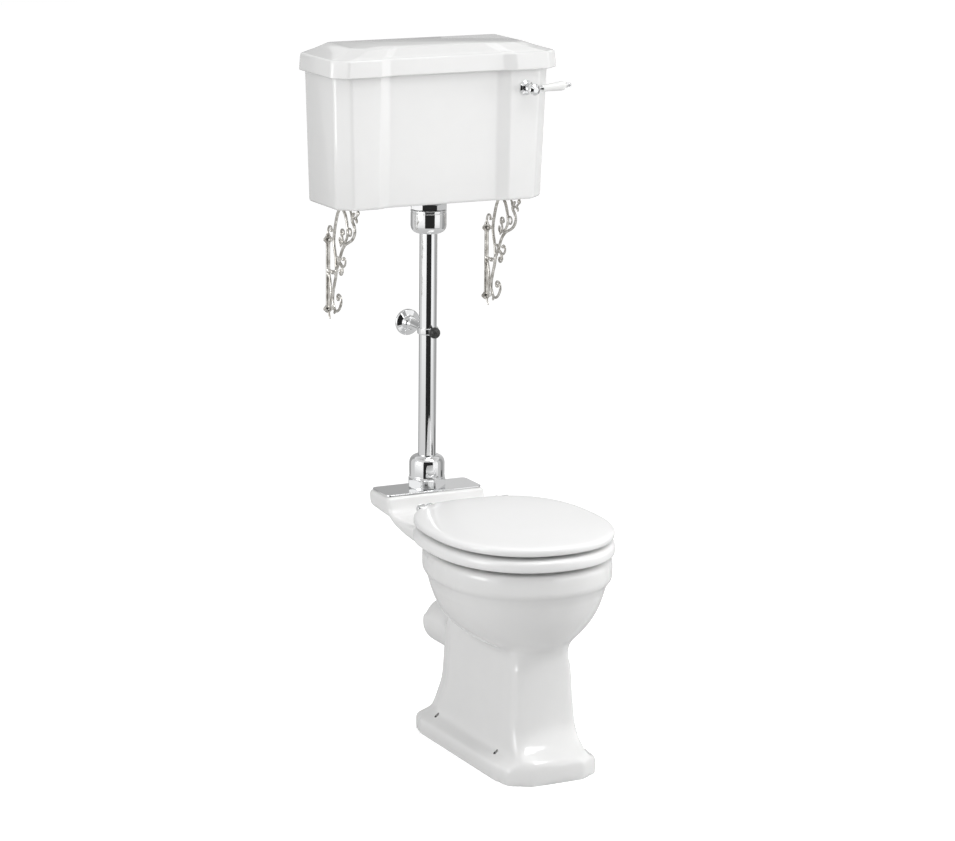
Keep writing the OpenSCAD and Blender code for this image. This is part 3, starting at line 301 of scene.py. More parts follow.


# Painted shade: a disc that only mirrors see, grey near the pipe and white at its edge, stands in for the
# object's shade on the floor.
def paint_mirrored_floor_shade():
    bm = bmesh.new()
    bmesh.ops.create_circle(bm, cap_ends=True, segments=64, radius=MIRRORED_REACH)

    def grey(f):
        place = f.node("TexCoord", output=OBJECT_SPACE)
        distance = f.node("VectorMath", {"operation": "LENGTH"}, output=1, Vector=place)
        return f.ramp(distance * (1 / MIRRORED_REACH), *FLOOR_SHADE_GREYS)

    show_in_mirrors(bm, "mirrored_floor_shade", PIPE_FOOT + Vector((0, 0, SCREEN_FOOT / 2)), grey)


bpy.context.scene.view_settings.view_transform = "Standard"
lay_floor()
light_world()
hang_light("soft_box_left", -85, 12, 3.4, (1.6, 1.6), 26, PAN_MIDDLE)
hang_light("soft_box_right", 75, 15, 3.4, (1.6, 1.6), 42, PAN_MIDDLE)
hang_light("soft_box_front", 38, 12, 3.6, (1.4, 1.8), 7.4, PAN_TOP).visible_glossy = False
hang_light("overhead", 10, 80, 3.4, (2.2, 2.2), 20, MIDDLE)
hang_light("cistern_fill", -32, 12, 2.4, (1.2, 1.2), 1.0, CISTERN_MIDDLE, 50)
hang_light("seat_fill", 25, 60, 2.6, (0.9, 0.9), 1.7, SEAT_MIDDLE, 50)
for name, screen in SCREENS.items():
    hang_screen(name, *screen)
paint_mirrored_floor_shade()

# Shared forms
# Outlines, lofts and turned solids that the pieces are made of. Their sizes are
# in millimetres until solid() brings them to metres.

MM = 0.001
WALL_Y = 465
PIPE_Y = 365
RIM_Z = 438
LEDGE_Z = 475
# Turns from an axis that points up to the one named.
AXIS_TURN = {
    "X": Matrix.Rotation(math.pi / 2, 4, "Y"),
    "Y": Matrix.Rotation(-math.pi / 2, 4, "X"),
    "-Y": Matrix.Rotation(math.pi / 2, 4, "X"),
    "Z": Matrix()}


def rounded(corners, steps):
    """Outline of a polygon whose corners (x, y, radius) are arcs."""
    outline = []
    for i, (x, y, radius) in enumerate(corners):
        here = Vector((x, y))
        if radius == 0:
            outline.append(here)
            continue
        before = (Vector(corners[i - 1][:2]) - here).normalized()
        after = (Vector(corners[(i + 1) % len(corners)][:2]) - here).normalized()
        half = before.angle(after) / 2
        centre = here + (before + after).normalized() * radius / math.sin(half)
        arm = here + before * radius / math.tan(half) - centre
        turn = math.copysign(math.pi - 2 * half, -before.cross(after))
        outline += [centre + Matrix.Rotation(turn * k / steps, 2) @ arm for k in range(steps + 1)]
    return outline


def oval(half_w, front, back, middle, power, sides, back_power=None):
    """Oval with its own reach to the front and back. Power 2 is an ellipse, and more is squarer."""
    outline = []
    for i in range(sides):
        c = math.cos(2 * math.pi * i / sides)
        s = math.sin(2 * math.pi * i / sides)
        reach = middle - front if s < 0 else back - middle
        e = 2 / (back_power if back_power and s >= 0 else power)
        x = half_w * math.copysign(abs(c) ** e, c)
        outline.append(Vector((x, middle + reach * math.copysign(abs(s) ** e, s))))
    return outline


def smooth_rows(rows, steps):
    """The rows of a profile with more between them, on a smooth curve."""
    out = []
    for i in range(len(rows) - 1):
        a, b, c, d = rows[max(i - 1, 0)], rows[i], rows[i + 1], rows[min(i + 2, len(rows) - 1)]
        for k in range(steps):
            t = k / steps
            out.append(tuple(
                0.5 * (2 * q + (r - p) * t + (2 * p - 5 * q + 4 * r - s) * t * t
                       + (3 * q - p - 3 * r + s) * t ** 3)
                for p, q, r, s in zip(a, b, c, d)))
    return out + [tuple(rows[-1])]


def at_height(outline, z):
    return [Vector((p.x, p.y, z)) for p in outline]


def upright(outline, y):
    return [Vector((p.x, y, p.y)) for p in outline]


def loft(bm, rings, closed=False):
    """Skin over a stack of rings of points. Each ring is extruded from the last, then moved."""
    ring = bmesh.ops.create_circle(bm, segments=len(rings[0]), radius=1)["verts"]
    made = list(ring)
    edges = list(dict.fromkeys(e for v in ring for e in v.link_edges))
    for v, p in zip(ring, rings[0]):
        v.co = p
    if not closed:
        bmesh.ops.contextual_create(bm, geom=edges)
    for points in rings[1:]:
        grown = bmesh.ops.extrude_edge_only(bm, edges=edges)["geom"]
        fresh = {v for v in grown if isinstance(v, bmesh.types.BMVert)}
        edges = [e for e in grown if isinstance(e, bmesh.types.BMEdge) and set(e.verts) <= fresh]
        ring = [next(w for w in (e.other_vert(v) for e in v.link_edges) if w in fresh) for v in ring]
        made += ring
        for v, p in zip(ring, points):
            v.co = p
    if closed:
        bmesh.ops.remove_doubles(bm, verts=made, dist=1e-5)
    else:
        bmesh.ops.contextual_create(bm, geom=edges)
    bmesh.ops.recalc_face_normals(bm, faces=bm.faces)


def rod(bm, start, end, d, sides=48, end_d=None):
    """Round bar between two points, or a cone where end_d is given."""
    start = Vector(start)
    along = Vector(end) - start
    made = bmesh.ops.create_cone(
        bm, cap_ends=True, segments=sides, radius1=d / 2, radius2=(end_d or d) / 2, depth=along.length)
    turn = along.to_track_quat("Z", "Y").to_matrix().to_4x4()
    bmesh.ops.transform(bm, matrix=Matrix.Translation(start + along / 2) @ turn, verts=made["verts"])


def spin(bm, profile, place, axis="Z", steps=96):
    """Adds a solid spun from a closed profile of (radius, height, corner radius), as on a lathe."""
    outline = rounded(profile, 5)
    old = set(bm.verts)
    verts = [bm.verts.new((p.x, 0, p.y)) for p in outline]
    pairs = zip(verts, verts[1:] + verts[:1])
    edges = [bm.edges.new(pair) for pair in pairs if max(pair[0].co.x, pair[1].co.x) > 1e-6]
    bmesh.ops.spin(bm, geom=verts + edges, axis=(0, 0, 1), cent=(0, 0, 0), angle=2 * math.pi,
                   steps=steps, use_merge=True)
    bmesh.ops.remove_doubles(bm, verts=[v for v in bm.verts if v not in old], dist=1e-4)
    bmesh.ops.recalc_face_normals(bm, faces=bm.faces)
    made = [v for v in bm.verts if v not in old]
    bmesh.ops.transform(bm, matrix=Matrix.Translation(place) @ AXIS_TURN[axis], verts=made)


def solid(bm, name="tool"):
    """Object in metres from a bmesh in millimetres."""
    bm.transform(Matrix.Scale(MM, 4))
    return mesh_object(name, bm)


def form(name, rings):
    bm = bmesh.new()
    loft(bm, rings)
    return solid(bm, name)


def turned(name, profile, place, axis="Z", steps=96):
    bm = bmesh.new()
    spin(bm, profile, place, axis, steps)
    return solid(bm, name)


def settle(piece):
    """Applies the piece's modifiers to its mesh."""
    depsgraph = bpy.context.evaluated_depsgraph_get()
    fresh = bpy.data.meshes.new_from_object(piece.evaluated_get(depsgraph))
    piece.modifiers.clear()
    old = piece.data
    piece.data = fresh
    bpy.data.meshes.remove(old)
    fresh.name = piece.name


def combine(piece, tool, operation="DIFFERENCE"):
    """Cuts the tool out of the piece, or adds it, and removes the tool."""
    change = piece.modifiers.new("combine", "BOOLEAN")
    change.operation = operation
    change.solver = "MANIFOLD"
    change.object = tool
    settle(piece)
    bpy.data.objects.remove(tool)


def melt(piece, size):
    """Turns the piece into one skin of even faces, of a size in millimetres."""
    change = piece.modifiers.new("melt", "REMESH")
    change.mode = "VOXEL"
    change.voxel_size = size * MM
    settle(piece)


def smooth(bm, verts):
    """Moves each vertex halfway to the middle of its neighbours."""
    axes = {"use_axis_x": True, "use_axis_y": True, "use_axis_z": True}
    bmesh.ops.smooth_vert(bm, verts=verts, factor=0.5, **axes)


def present(piece, body, finish, slot, *stands_for, crease=32):
    """Gives a finished piece its material and shading, and rides it on its body."""
    bm = bmesh.new()
    bm.from_mesh(piece.data)
    for face in bm.faces:
        face.smooth = True
        face.material_index = 0
    for edge in bm.edges:
        edge.smooth = edge.calc_face_angle(0) < math.radians(crease)
    bm.to_mesh(piece.data)
    bm.free()
    piece.data.materials.clear()
    piece.data.materials.append(finish)
    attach(piece, body)
    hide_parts(*stands_for)


# Pan
# One piece of vitreous china, slip cast and fired with a white glaze: bowl,
# rim, column and foot, with the ledge for the flush pipe behind.

BOWL_MID_Y = -60
OUTLET_Z = 210
OUTLET_END_Y = 283
OUTLET_D = 102
OUTLET_WALL = 9
SCREW_X = 86
SCREW_Y = 135
SCREW_BORE = 9
FOOT_TOP_Z = 100
HINGE_X = 77.5
HINGE_Y = 190
HINGE_BORE = 16
INLET_BORE = 54
CHINA_WHITE = (0.86, 0.86, 0.855, 1)
# Painted shade inside the floor screws' bores, near black.
BARE_BORE_SHADE = (0.1, 0.098, 0.093, 1)
PAN_VOXEL = 4.0
# Heights between which the bowl runs into the column.
THROAT_Z = (225, 360)

# Rows are height, half width, front and back.
BOWL = [
    (248, 46, -172, 62), (257, 72, -184, 80), (265, 92, -193, 92), (276, 109, -203, 104),
    (289, 125, -212, 116), (307, 141, -223, 128), (329, 154, -234, 140), (351, 163, -242, 150),
    (372, 168, -247, 156), (386, 173, -254, 160), (389, 174, -255, 161), (393, 180, -261, 165),
    (399, 181, -262, 166), (429, 181, -262, 166), (435, 179, -260, 165), (438, 173, -254, 160)]
BOWL_INSIDE = [
    (92, 26, -30, 22), (98, 34, -40, 30), (130, 38, -46, 34), (180, 41, -56, 34),
    (225, 44, -72, 37), (250, 54, -104, 44), (268, 74, -140, 56), (287, 98, -180, 76),
    (317, 124, -208, 104), (347, 141, -222, 121), (368, 148, -230, 130), (386, 150, -232, 134),
    (394, 142, -226, 124), (400, 124, -208, 97), (426, 119, -204, 91), (434, 121, -206, 93),
    (440, 129, -214, 101)]
# Rows are height, half width, front, back, corner width, corner depth and bulge of the sides.
COLUMN = [
    (0, 110, -248, 213, 49, 30, 8), (31, 110, -248, 213, 49, 30, 8),
    (35, 104, -248, 212, 45, 27, 7), (40, 93, -247, 209, 40, 24, 5),
    (45, 85, -244, 205, 35, 20, 3), (52, 80, -236, 200, 32, 16, 2),
    (65, 77, -218, 194, 31, 12, 1), (91, 74, -199, 183, 28, 8, 1), (129, 71, -192, 169, 25, 8, 1),
    (200, 67, -188, 168, 21, 8, 1), (290, 60, -182, 166, 18, 8, 1)]
# Rows are height, half width, front and back.
HOLLOW = [
    (-1, 71, -224, 196), (38, 69, -220, 190), (50, 62, -206, 178), (74, 52, -190, 160),
    (79, 40, -170, 140)]
# Rows are distance behind the floor screws, half width, top and underside.
DECK = [
    (40, 98, 436.7, 396), (110, 104, 436.8, 399), (150, 107, 437, 402), (180, 110, 437.5, 404),
    (222, 113.5, 438, 408), (276, 114.5, 439, 417), (303, 114.5, 442, 425),
    (313, 114.5, 450, 430), (317, 114.5, 471, 431), (321, 114.5, 475, 432),
    (399, 114.5, 475, 438), (410, 114.5, 475, 443), (413, 111.5, 472, 450)]
KEEL = [
    (60, 50, 425, 310), (150, 50, 425, 334), (220, 48, 425, 354), (290, 46, 428, 370),
    (365, 44, 430, 388), (405, 40, 440, 414)]


def glazed_china(name, white):
    """White glaze over china: a soft body under a clear coat, with the faint waves of a fired glaze.
    The bores of the floor screws, below the top of the foot, are painted near black: painted shade deep
    in the holes, over their bare china."""
    made, f = material(name)
    place = f.node("TexCoord", output=OBJECT_SPACE)
    x, y, z = (f.node("SeparateXYZ", output=i, Vector=place) for i in range(3))
    cloud = f.noise(24.0, 4.0)
    glaze = f.node("MixRGB", {"blend_type": "MULTIPLY"}, Fac=1.0, Color1=white,
                   Color2=f.ramp(cloud, (0.3, 0.988), (0.7, 1.0)))
    off_x = x.math("ABSOLUTE") - SCREW_X * MM
    off_y = y.math("ABSOLUTE") - SCREW_Y * MM
    reach = (SCREW_BORE / 2 + 0.08) * MM
    near_axis = (off_x * off_x + off_y * off_y).math("LESS_THAN", reach ** 2)
    # Painted shade: the screw bores below the foot's top take the near-black colour in place of the glaze
    # white.
    bare_bore_shade = near_axis * z.math("LESS_THAN", FOOT_TOP_Z * MM)
    waves = f.noise(30.0, 1.0)
    pits = f.noise(420.0, 1.0)
    relief = f.relief(0.03, 0.001, waves + 0.05 * pits)
    f.coat(Base_Color=f.blend(bare_bore_shade, glaze, BARE_BORE_SHADE), Roughness=0.2 + 0.03 * cloud, IOR=1.5,
           Coat_Weight=0.9, Coat_Roughness=0.04, Coat_IOR=1.5, Normal=relief)
    return made


china = glazed_china("glazed_china", CHINA_WHITE)


def column_outline(row):
    _, w, front, back, cx, cy, bulge = row
    return rounded([
        (-w, front + cy + 50, 90), (bulge - w, front + cy, 16), (cx - w, front + 4, 14),
        (0, front, 300), (w - cx, front + 4, 14), (w - bulge, front + cy, 16),
        (w, front + cy + 50, 90), (w, back - 50, 60), (w - 11, back, 14), (11 - w, back, 14),
        (-w, back - 50, 60)], 5)


def deck_ring(row, radius):
    y, w, top, under = row
    r = min(radius, 5)
    return upright(rounded([(w, top, r), (w, under, radius), (-w, under, radius), (-w, top, r)], 4), y)


def ovals(rows, middle, power, sides):
    """Level rings of a form whose rows are height, half width, front and back."""
    return [at_height(oval(w, front, back, middle, power, sides), z) for z, w, front, back in rows]


def make_pan():
    pan = form("pan_china", ovals(smooth_rows(BOWL, 3), BOWL_MID_Y, 2.2, 96))
    column = form("column", [at_height(column_outline(r), r[0]) for r in smooth_rows(COLUMN, 3)])
    deck = form("deck", [deck_ring(r, 9) for r in smooth_rows(DECK, 3)])
    keel = form("keel", [deck_ring(r, 20) for r in smooth_rows(KEEL, 3)])
    outlet = bmesh.new()
    rod(outlet, (0, 120, OUTLET_Z), (0, OUTLET_END_Y, OUTLET_Z), OUTLET_D, 96)
    for part in (column, deck, keel, solid(outlet)):
        combine(pan, part, "UNION")
    hollow = form("hollow", ovals(smooth_rows(HOLLOW, 2), -20, 4, 64))
    rings = []
    for z, w, front, back in smooth_rows(BOWL_INSIDE, 3):
        rings.append(at_height(oval(w, front, back, (front + 2 * back) / 3, 2.1, 96), z))
    bowl = form("bowl", rings)
    trap = bmesh.new()
    rod(trap, (0, 2, 118), (0, 56, 134), 60)
    rod(trap, (0, 150, OUTLET_Z), (0, OUTLET_END_Y + 5, OUTLET_Z), OUTLET_D - 2 * OUTLET_WALL, 96)
    for tool in (hollow, bowl, solid(trap)):
        combine(pan, tool)
    melt(pan, PAN_VOXEL)
    soften(pan)
    holes = bmesh.new()
    for x in (-SCREW_X, SCREW_X):
        for y in (-SCREW_Y, SCREW_Y):
            rod(holes, (x, y, -5), (x, y, 120), SCREW_BORE, 32)
    for x in (-HINGE_X, HINGE_X):
        rod(holes, (x, HINGE_Y, 380), (x, HINGE_Y, 460), HINGE_BORE, 48)
    rod(holes, (0, PIPE_Y, RIM_Z - 18), (0, PIPE_Y, LEDGE_Z + 20), INLET_BORE, 64)
    combine(pan, solid(holes))
    present(pan, "fixed_parts", china, "glazed_china", "pan", crease=75)


def soften(pan):
    """Evens out the cast form, most where the bowl runs into the column, and keeps the sole flat."""
    bm = bmesh.new()
    bm.from_mesh(pan.data)
    sole = [v for v in bm.verts if v.co.z < 2 * MM]
    rest = [v for v in bm.verts if v.co.z >= 2 * MM]
    low, high = THROAT_Z
    throat = [v for v in rest if low * MM < v.co.z < high * MM]
    for verts, times in ((rest, 8), (throat, 40)):
        for _ in range(times):
            smooth(bm, verts)
    for v in sole:
        v.co.z = 0
    bm.to_mesh(pan.data)
    bm.free()


make_pan()

# Cistern
# Slip-cast china tank with cut corners and a sunk panel at the front, open at
# the top. Its holes take the flush pipe, the lever, the inlet and the screws.

BACK_Y = 450
BASE_Z = 1096
BODY_H = 291
BODY_HALF_W = 247
BODY_FRONT_Y = 284
SIDE_LEAN = 10
FRONT_LEAN = 6
PANEL_HALF_W = 124
PANEL_SLANT = 25
PANEL_RECESS = 11
CORNER_X = 30
CORNER_Y = 23
CHINA_T = 12
FLOOR_T = 14
RIM_TOP_Z = BASE_Z + BODY_H
SKIRT_Z = RIM_TOP_Z - 15
LEVER_X = 185
LEVER_Z = 1333
INLET_Y = 390
INLET_Z = 1345
WALL_SCREW_X = 165
WALL_SCREW_Z = 1358


def cistern_outline(half_w, front, grow=0, back=BACK_Y):
    """Plan of the cistern: square at the back, cut corners and a sunk panel at the front."""
    p = PANEL_HALF_W + grow / 2
    return rounded([
        (-half_w, back, 4), (-half_w, front + CORNER_Y, 14), (CORNER_X - half_w, front, 14),
        (-p - PANEL_SLANT, front, 20), (-p, front + PANEL_RECESS, 20), (p, front + PANEL_RECESS, 20),
        (p + PANEL_SLANT, front, 20), (half_w - CORNER_X, front, 14), (half_w, front + CORNER_Y, 14),
        (half_w, back, 4)], 8)


def tank_outline(half_w, front, back, radius):
    """Plan of the hollow inside: square at the back, with cut corners at the front."""
    plan = [
        (-half_w, back), (-half_w, front + CORNER_Y), (CORNER_X - half_w, front),
        (half_w - CORNER_X, front), (half_w, front + CORNER_Y), (half_w, back)]
    return rounded([(x, y, radius) for x, y in plan], 8)


def body_ring(h, inset):
    lean = 1 - h / BODY_H
    half_w = BODY_HALF_W - SIDE_LEAN * lean - inset
    return at_height(cistern_outline(half_w, BODY_FRONT_Y + FRONT_LEAN * lean + inset), BASE_Z + h)


def tank_ring(h, inset):
    lean = 1 - h / BODY_H
    half_w = BODY_HALF_W - SIDE_LEAN * lean - CHINA_T - inset
    front = BODY_FRONT_Y + FRONT_LEAN * lean + PANEL_RECESS + CHINA_T + inset
    return at_height(tank_outline(half_w, front, BACK_Y - CHINA_T - inset, 14), BASE_Z + h)


def edge_round(height, radius, steps=4):
    """Height and inset of the steps that round a bottom edge."""
    turns = [math.pi / 2 * k / steps for k in range(steps + 1)]
    return [(height + radius * (1 - math.cos(t)), radius * (1 - math.sin(t))) for t in turns]


def make_cistern():
    foot = edge_round(0, 7)
    rim = [(BODY_H - h, inset) for h, inset in reversed(edge_round(0, 2.5, 3))]
    body = form("cistern_china", [body_ring(h, inset) for h, inset in foot + [(BODY_H / 2, 0)] + rim])
    rows = edge_round(FLOOR_T, 10) + [(BODY_H / 2, 0), (BODY_H + 1, 0)]
    combine(body, form("tank", [tank_ring(h, inset) for h, inset in rows]))
    holes = bmesh.new()
    rod(holes, (0, PIPE_Y, BASE_Z - 1), (0, PIPE_Y, BASE_Z + FLOOR_T + 1), 51, 64)
    rod(holes, (LEVER_X, 270, LEVER_Z), (LEVER_X, 330, LEVER_Z), 18)
    rod(holes, (215, INLET_Y, INLET_Z), (265, INLET_Y, INLET_Z), 22)
    for x in (-WALL_SCREW_X, WALL_SCREW_X):
        rod(holes, (x, BACK_Y - 20, WALL_SCREW_Z), (x, BACK_Y + 5, WALL_SCREW_Z), 8)
    combine(body, solid(holes))
    present(body, "fixed_parts", china, "glazed_china", "cistern_body")


make_cistern()

# Cistern lid
# Loose china cover. Its skirt drops over the tank's rim and its top rises in
# soft slopes at the front and sides to a flat field.

LID_HALF_W = 260
LID_FRONT_Y = 268
CREASE_Z = SKIRT_Z + 37
LID_RISE = 18
TOP_MARGIN = 62
FRONT_MARGIN = 32
# Rows are height, inset of the sides and inset of the front.
LID_ROWS = [
    (SKIRT_Z, 2.4, 2.4), (SKIRT_Z + 0.8, 0.8, 0.8), (SKIRT_Z + 2.4, 0, 0), (SKIRT_Z + 6, 0, 0),
    (CREASE_Z - 6, 2.4, 2.4), (CREASE_Z - 3, 3.4, 3.2), (CREASE_Z - 1, 5, 4.6), (CREASE_Z, 8, 7),
    (CREASE_Z + LID_RISE * 0.2, TOP_MARGIN * 0.34, FRONT_MARGIN * 0.36),
    (CREASE_Z + LID_RISE * 0.55, TOP_MARGIN * 0.68, FRONT_MARGIN * 0.7),
    (CREASE_Z + LID_RISE * 0.9, TOP_MARGIN * 0.97, FRONT_MARGIN),
    (CREASE_Z + LID_RISE, TOP_MARGIN + 5, FRONT_MARGIN + 5)]


def make_lid():
    rings = []
    for z, side, front in smooth_rows(LID_ROWS, 3):
        half_w = LID_HALF_W - max(side, 0)
        rings.append(at_height(cistern_outline(half_w, LID_FRONT_Y + max(front, 0), 13 - side), z))
    lid = form("cistern_lid_china", rings)
    pocket = cistern_outline(LID_HALF_W - 9, LID_FRONT_Y + 10, 5, BACK_Y + 1)
    combine(lid, form("pocket", [at_height(pocket, SKIRT_Z - 1), at_height(pocket, RIM_TOP_Z)]))
    hollow = tank_outline(BODY_HALF_W - 20, BODY_FRONT_Y + 34, BACK_Y - 22, 12)
    combine(lid, form("hollow", [at_height(hollow, RIM_TOP_Z - 1), at_height(hollow, CREASE_Z - 6)]))
    present(lid, "cistern_cover", china, "glazed_china", "cistern_lid")


make_lid()

# Seat ring and lid
# Moulded in one thickness each and lacquered white, with round edges. They
# stand on small buffers, which leaves a dark line under each.

RING_Z = 448
RING_T = 24
COVER_Z = 480
COVER_T = 17
COVER_RISE = 7
SEAT_MID_Y = -45
SEAT_HALF_W = 188
SEAT_FRONT = -270
SEAT_BACK = 175
SEAT_SIDES = 144
# Half width, front and back of the ring's opening.
OPENING = (112, -193, 73)
# Share of the way in and share of the thickness, round the ring's section.
RING_SECTION = [
    (0.03, 0), (0.008, 0.06), (0, 0.2), (0, 0.42), (0.004, 0.62), (0.02, 0.78), (0.05, 0.89),
    (0.1, 0.965), (0.17, 1), (0.4, 1), (0.6, 0.975), (0.75, 0.9), (0.86, 0.79), (0.93, 0.65),
    (0.975, 0.47), (0.995, 0.28), (1, 0.16), (0.99, 0.05), (0.96, 0), (0.5, 0), (0.03, 0)]


def seat_white():
    """White lacquer: smooth, with a low sheen below its gloss."""
    made, f = material("seat_white")
    cloud = f.noise(40.0, 3.0)
    f.coat(Base_Color=f.blend(cloud, (0.89, 0.89, 0.885, 1), (0.9, 0.9, 0.9, 1)),
           Roughness=0.3 + 0.04 * cloud, Coat_Weight=0.6, Coat_Roughness=0.08)
    return made


seat_finish = seat_white()


def make_ring():
    outer = oval(SEAT_HALF_W, SEAT_FRONT, SEAT_BACK, SEAT_MID_Y, 2.2, SEAT_SIDES, 2.6)
    inner = oval(*OPENING, SEAT_MID_Y, 2.2, SEAT_SIDES)
    rings = [
        [Vector((*(a + (b - a) * share), RING_Z + RING_T * rise)) for a, b in zip(outer, inner)]
        for share, rise in RING_SECTION]
    bm = bmesh.new()
    loft(bm, rings, closed=True)
    present(solid(bm, "seat_ring"), "ring", seat_finish, "seat_white", "ring_seat", crease=60)


def cover_outline(inset):
    return oval(SEAT_HALF_W - 2 - inset, SEAT_FRONT + 4 + inset, SEAT_BACK + 3 - inset, SEAT_MID_Y,
                2.25, SEAT_SIDES, 2.6)


def make_cover():
    top = COVER_Z + COVER_T
    # Rows are height and inset: flat underside, round edge, and a crown that rises to the middle.
    rows = [
        (COVER_Z, 60), (COVER_Z, 4.5), (COVER_Z + 0.4, 3), (COVER_Z + 1.8, 1.2), (COVER_Z + 4.5, 0.2),
        (COVER_Z + 8.5, 0), (top - 5, 0.8), (top - 2.4, 2.6), (top - 0.8, 5.4), (top + 0.2, 9.5),
        (top + 1.2, 16), (top + 3.3, 40), (top + 5, 70), (top + 6.3, 105), (top + COVER_RISE, 140)]
    lid = form("seat_lid", [at_height(cover_outline(inset), z) for z, inset in rows])
    present(lid, "cover", seat_finish, "seat_white", "cover_seat", crease=60)


make_ring()
make_cover()

# Chromed flush pipe and its nuts
# Brass tube and turned brass nuts, polished and chromed. The domed cap and the
# octagon nut stand on a pressed plate, and the cup nut hides the joint above.

PIPE_R = 19
TUBE_BORE_R = 17.5
NUT_BORE_R = 19.3
PLATE_HALF_W = 111.5
PLATE_HALF_D = 42
PLATE_CORNER = 11


def polished_chrome():
    """Chrome plate: a clear mirror with faint wipe marks."""
    made, f = material("polished_chrome")
    cloud = f.noise(16.0, 4.0)
    wipe = f.noise(90.0, 3.0)
    f.coat(Base_Color=(0.9, 0.905, 0.91, 1), Metallic=1.0, Roughness=0.02 + 0.05 * cloud,
           Normal=f.relief(0.006, 0.001, wipe))
    return made


chrome = polished_chrome()


def present_chrome(piece, node, crease=32):
    present(piece, "fixed_parts", chrome, "polished_chrome", node, crease=crease)


def octagon_nut(name, corners_d, height, bore, place, chamfer):
    """Nut with a bore and eight flats, a corner to the front, and its corners turned off at both ends."""
    nut = bmesh.new()
    rod(nut, (0, 0, 0), (0, 0, height), corners_d, 8)
    nut.transform(Matrix.Translation(place))
    made = solid(nut, name)
    flats = corners_d * math.cos(math.pi / 8)
    r = corners_d / 2 + 0.01
    lathe = turned("lathe", [
        (bore / 2, 0, 0), (flats / 2 - 1, 0, 0), (r, chamfer, 0), (r, height - chamfer, 0),
        (flats / 2 - 1, height, 0), (bore / 2, height, 0)], place)
    combine(made, lathe, "INTERSECT")
    return made


def make_pipe():
    low, high = (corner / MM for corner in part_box("flush_pipe"))
    h = high.z - low.z
    pipe = turned("chromed_pipe", [
        (TUBE_BORE_R, 0, 0), (PIPE_R, 0, 0), (PIPE_R, h - 4, 0), (23, h - 4, 0.5), (23, h, 0),
        (TUBE_BORE_R, h, 0)], (0, PIPE_Y, low.z), steps=128)
    present_chrome(pipe, "flush_pipe")


def make_plate():
    bm = bmesh.new()
    rings = []
    for h, inset in ((0, 0.6), (0.6, 0), (2.2, 0), (3, 0.25), (3.6, 0.8), (3.9, 1.5), (4, 2.4)):
        x = PLATE_HALF_W - inset
        y = PLATE_HALF_D - inset
        r = PLATE_CORNER - inset
        corners = [(-x, PIPE_Y - y, r), (x, PIPE_Y - y, r), (x, PIPE_Y + y, r), (-x, PIPE_Y + y, r)]
        rings.append(at_height(rounded(corners, 10), LEDGE_Z + h))
    loft(bm, rings)
    plate = solid(bm, "ledge_plate_chrome")
    hole = bmesh.new()
    rod(hole, (0, PIPE_Y, LEDGE_Z - 5), (0, PIPE_Y, LEDGE_Z + 10), 2 * NUT_BORE_R, 64)
    combine(plate, solid(hole))
    present_chrome(plate, "ledge_cover_plate")


def make_lower_joint():
    low, high = (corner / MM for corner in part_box("base_nut"))
    nut = octagon_nut("octagon_base_nut", 84, high.z - low.z, 2 * NUT_BORE_R, (0, PIPE_Y, low.z), 4)
    present_chrome(nut, "base_nut", crease=20)

    low, high = (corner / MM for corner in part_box("domed_cap"))
    h = high.z - low.z
    cap = turned("domed_cap_chrome", [
        (NUT_BORE_R, 0, 0), (38.3, 0, 0.8), (38.3, 4, 0.5), (37.8, 5.2, 0.5), (37.8, h - 1, 16),
        (NUT_BORE_R + 0.6, h, 0.3), (NUT_BORE_R, h, 0)], (0, PIPE_Y, low.z))
    present_chrome(cap, "domed_cap")


def make_upper_joint():
    low, high = (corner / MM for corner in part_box("cup_nut"))
    h = high.z - low.z
    cup = turned("cup_nut_chrome", [
        (NUT_BORE_R, 0, 0.4), (22, 0, 1), (38, 0.6, 16), (38, h - 7, 0.4), (37, h - 6, 0.4),
        (37, h - 5, 0.4), (38, h - 4, 0.4), (38, h, 1.2), (34, h, 0.6), (34, h - 3, 0),
        (24.3, h - 3, 0), (24.3, 15, 0), (NUT_BORE_R, 15, 0)], (0, PIPE_Y, low.z))
    present_chrome(cup, "cup_nut")

    low, high = (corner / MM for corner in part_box("tail_nut"))
    nut = octagon_nut("tail_nut_chrome", high.x - low.x, high.z - low.z, 48.6, (0, PIPE_Y, low.z), 2)
    present_chrome(nut, "tail_nut", crease=20)


make_pipe()
make_plate()
make_lower_joint()
make_upper_joint()

# Wall clip and stop ball
# A turned rose on the wall carries a stout stem and a split band round the pipe.
# The black rubber ball on the band catches the seat's lid when it is open.

CLIP_Z = 818
STOP_Y = 332.5
STOP_R = 12
BAND_H = 14


def black_rubber():
    """Moulded rubber, matt and nearly black, with a dusty bloom."""
    made, f = material("black_rubber")
    cloud = f.noise(60.0, 4.0)
    grain = f.noise(900.0, 2.0)
    f.coat(Base_Color=f.blend(cloud, (0.012, 0.012, 0.012, 1), (0.03, 0.03, 0.029, 1)),
           Roughness=0.36 + 0.16 * cloud, Normal=f.relief(0.12, 0.0003, grain))
    return made


rubber = black_rubber()


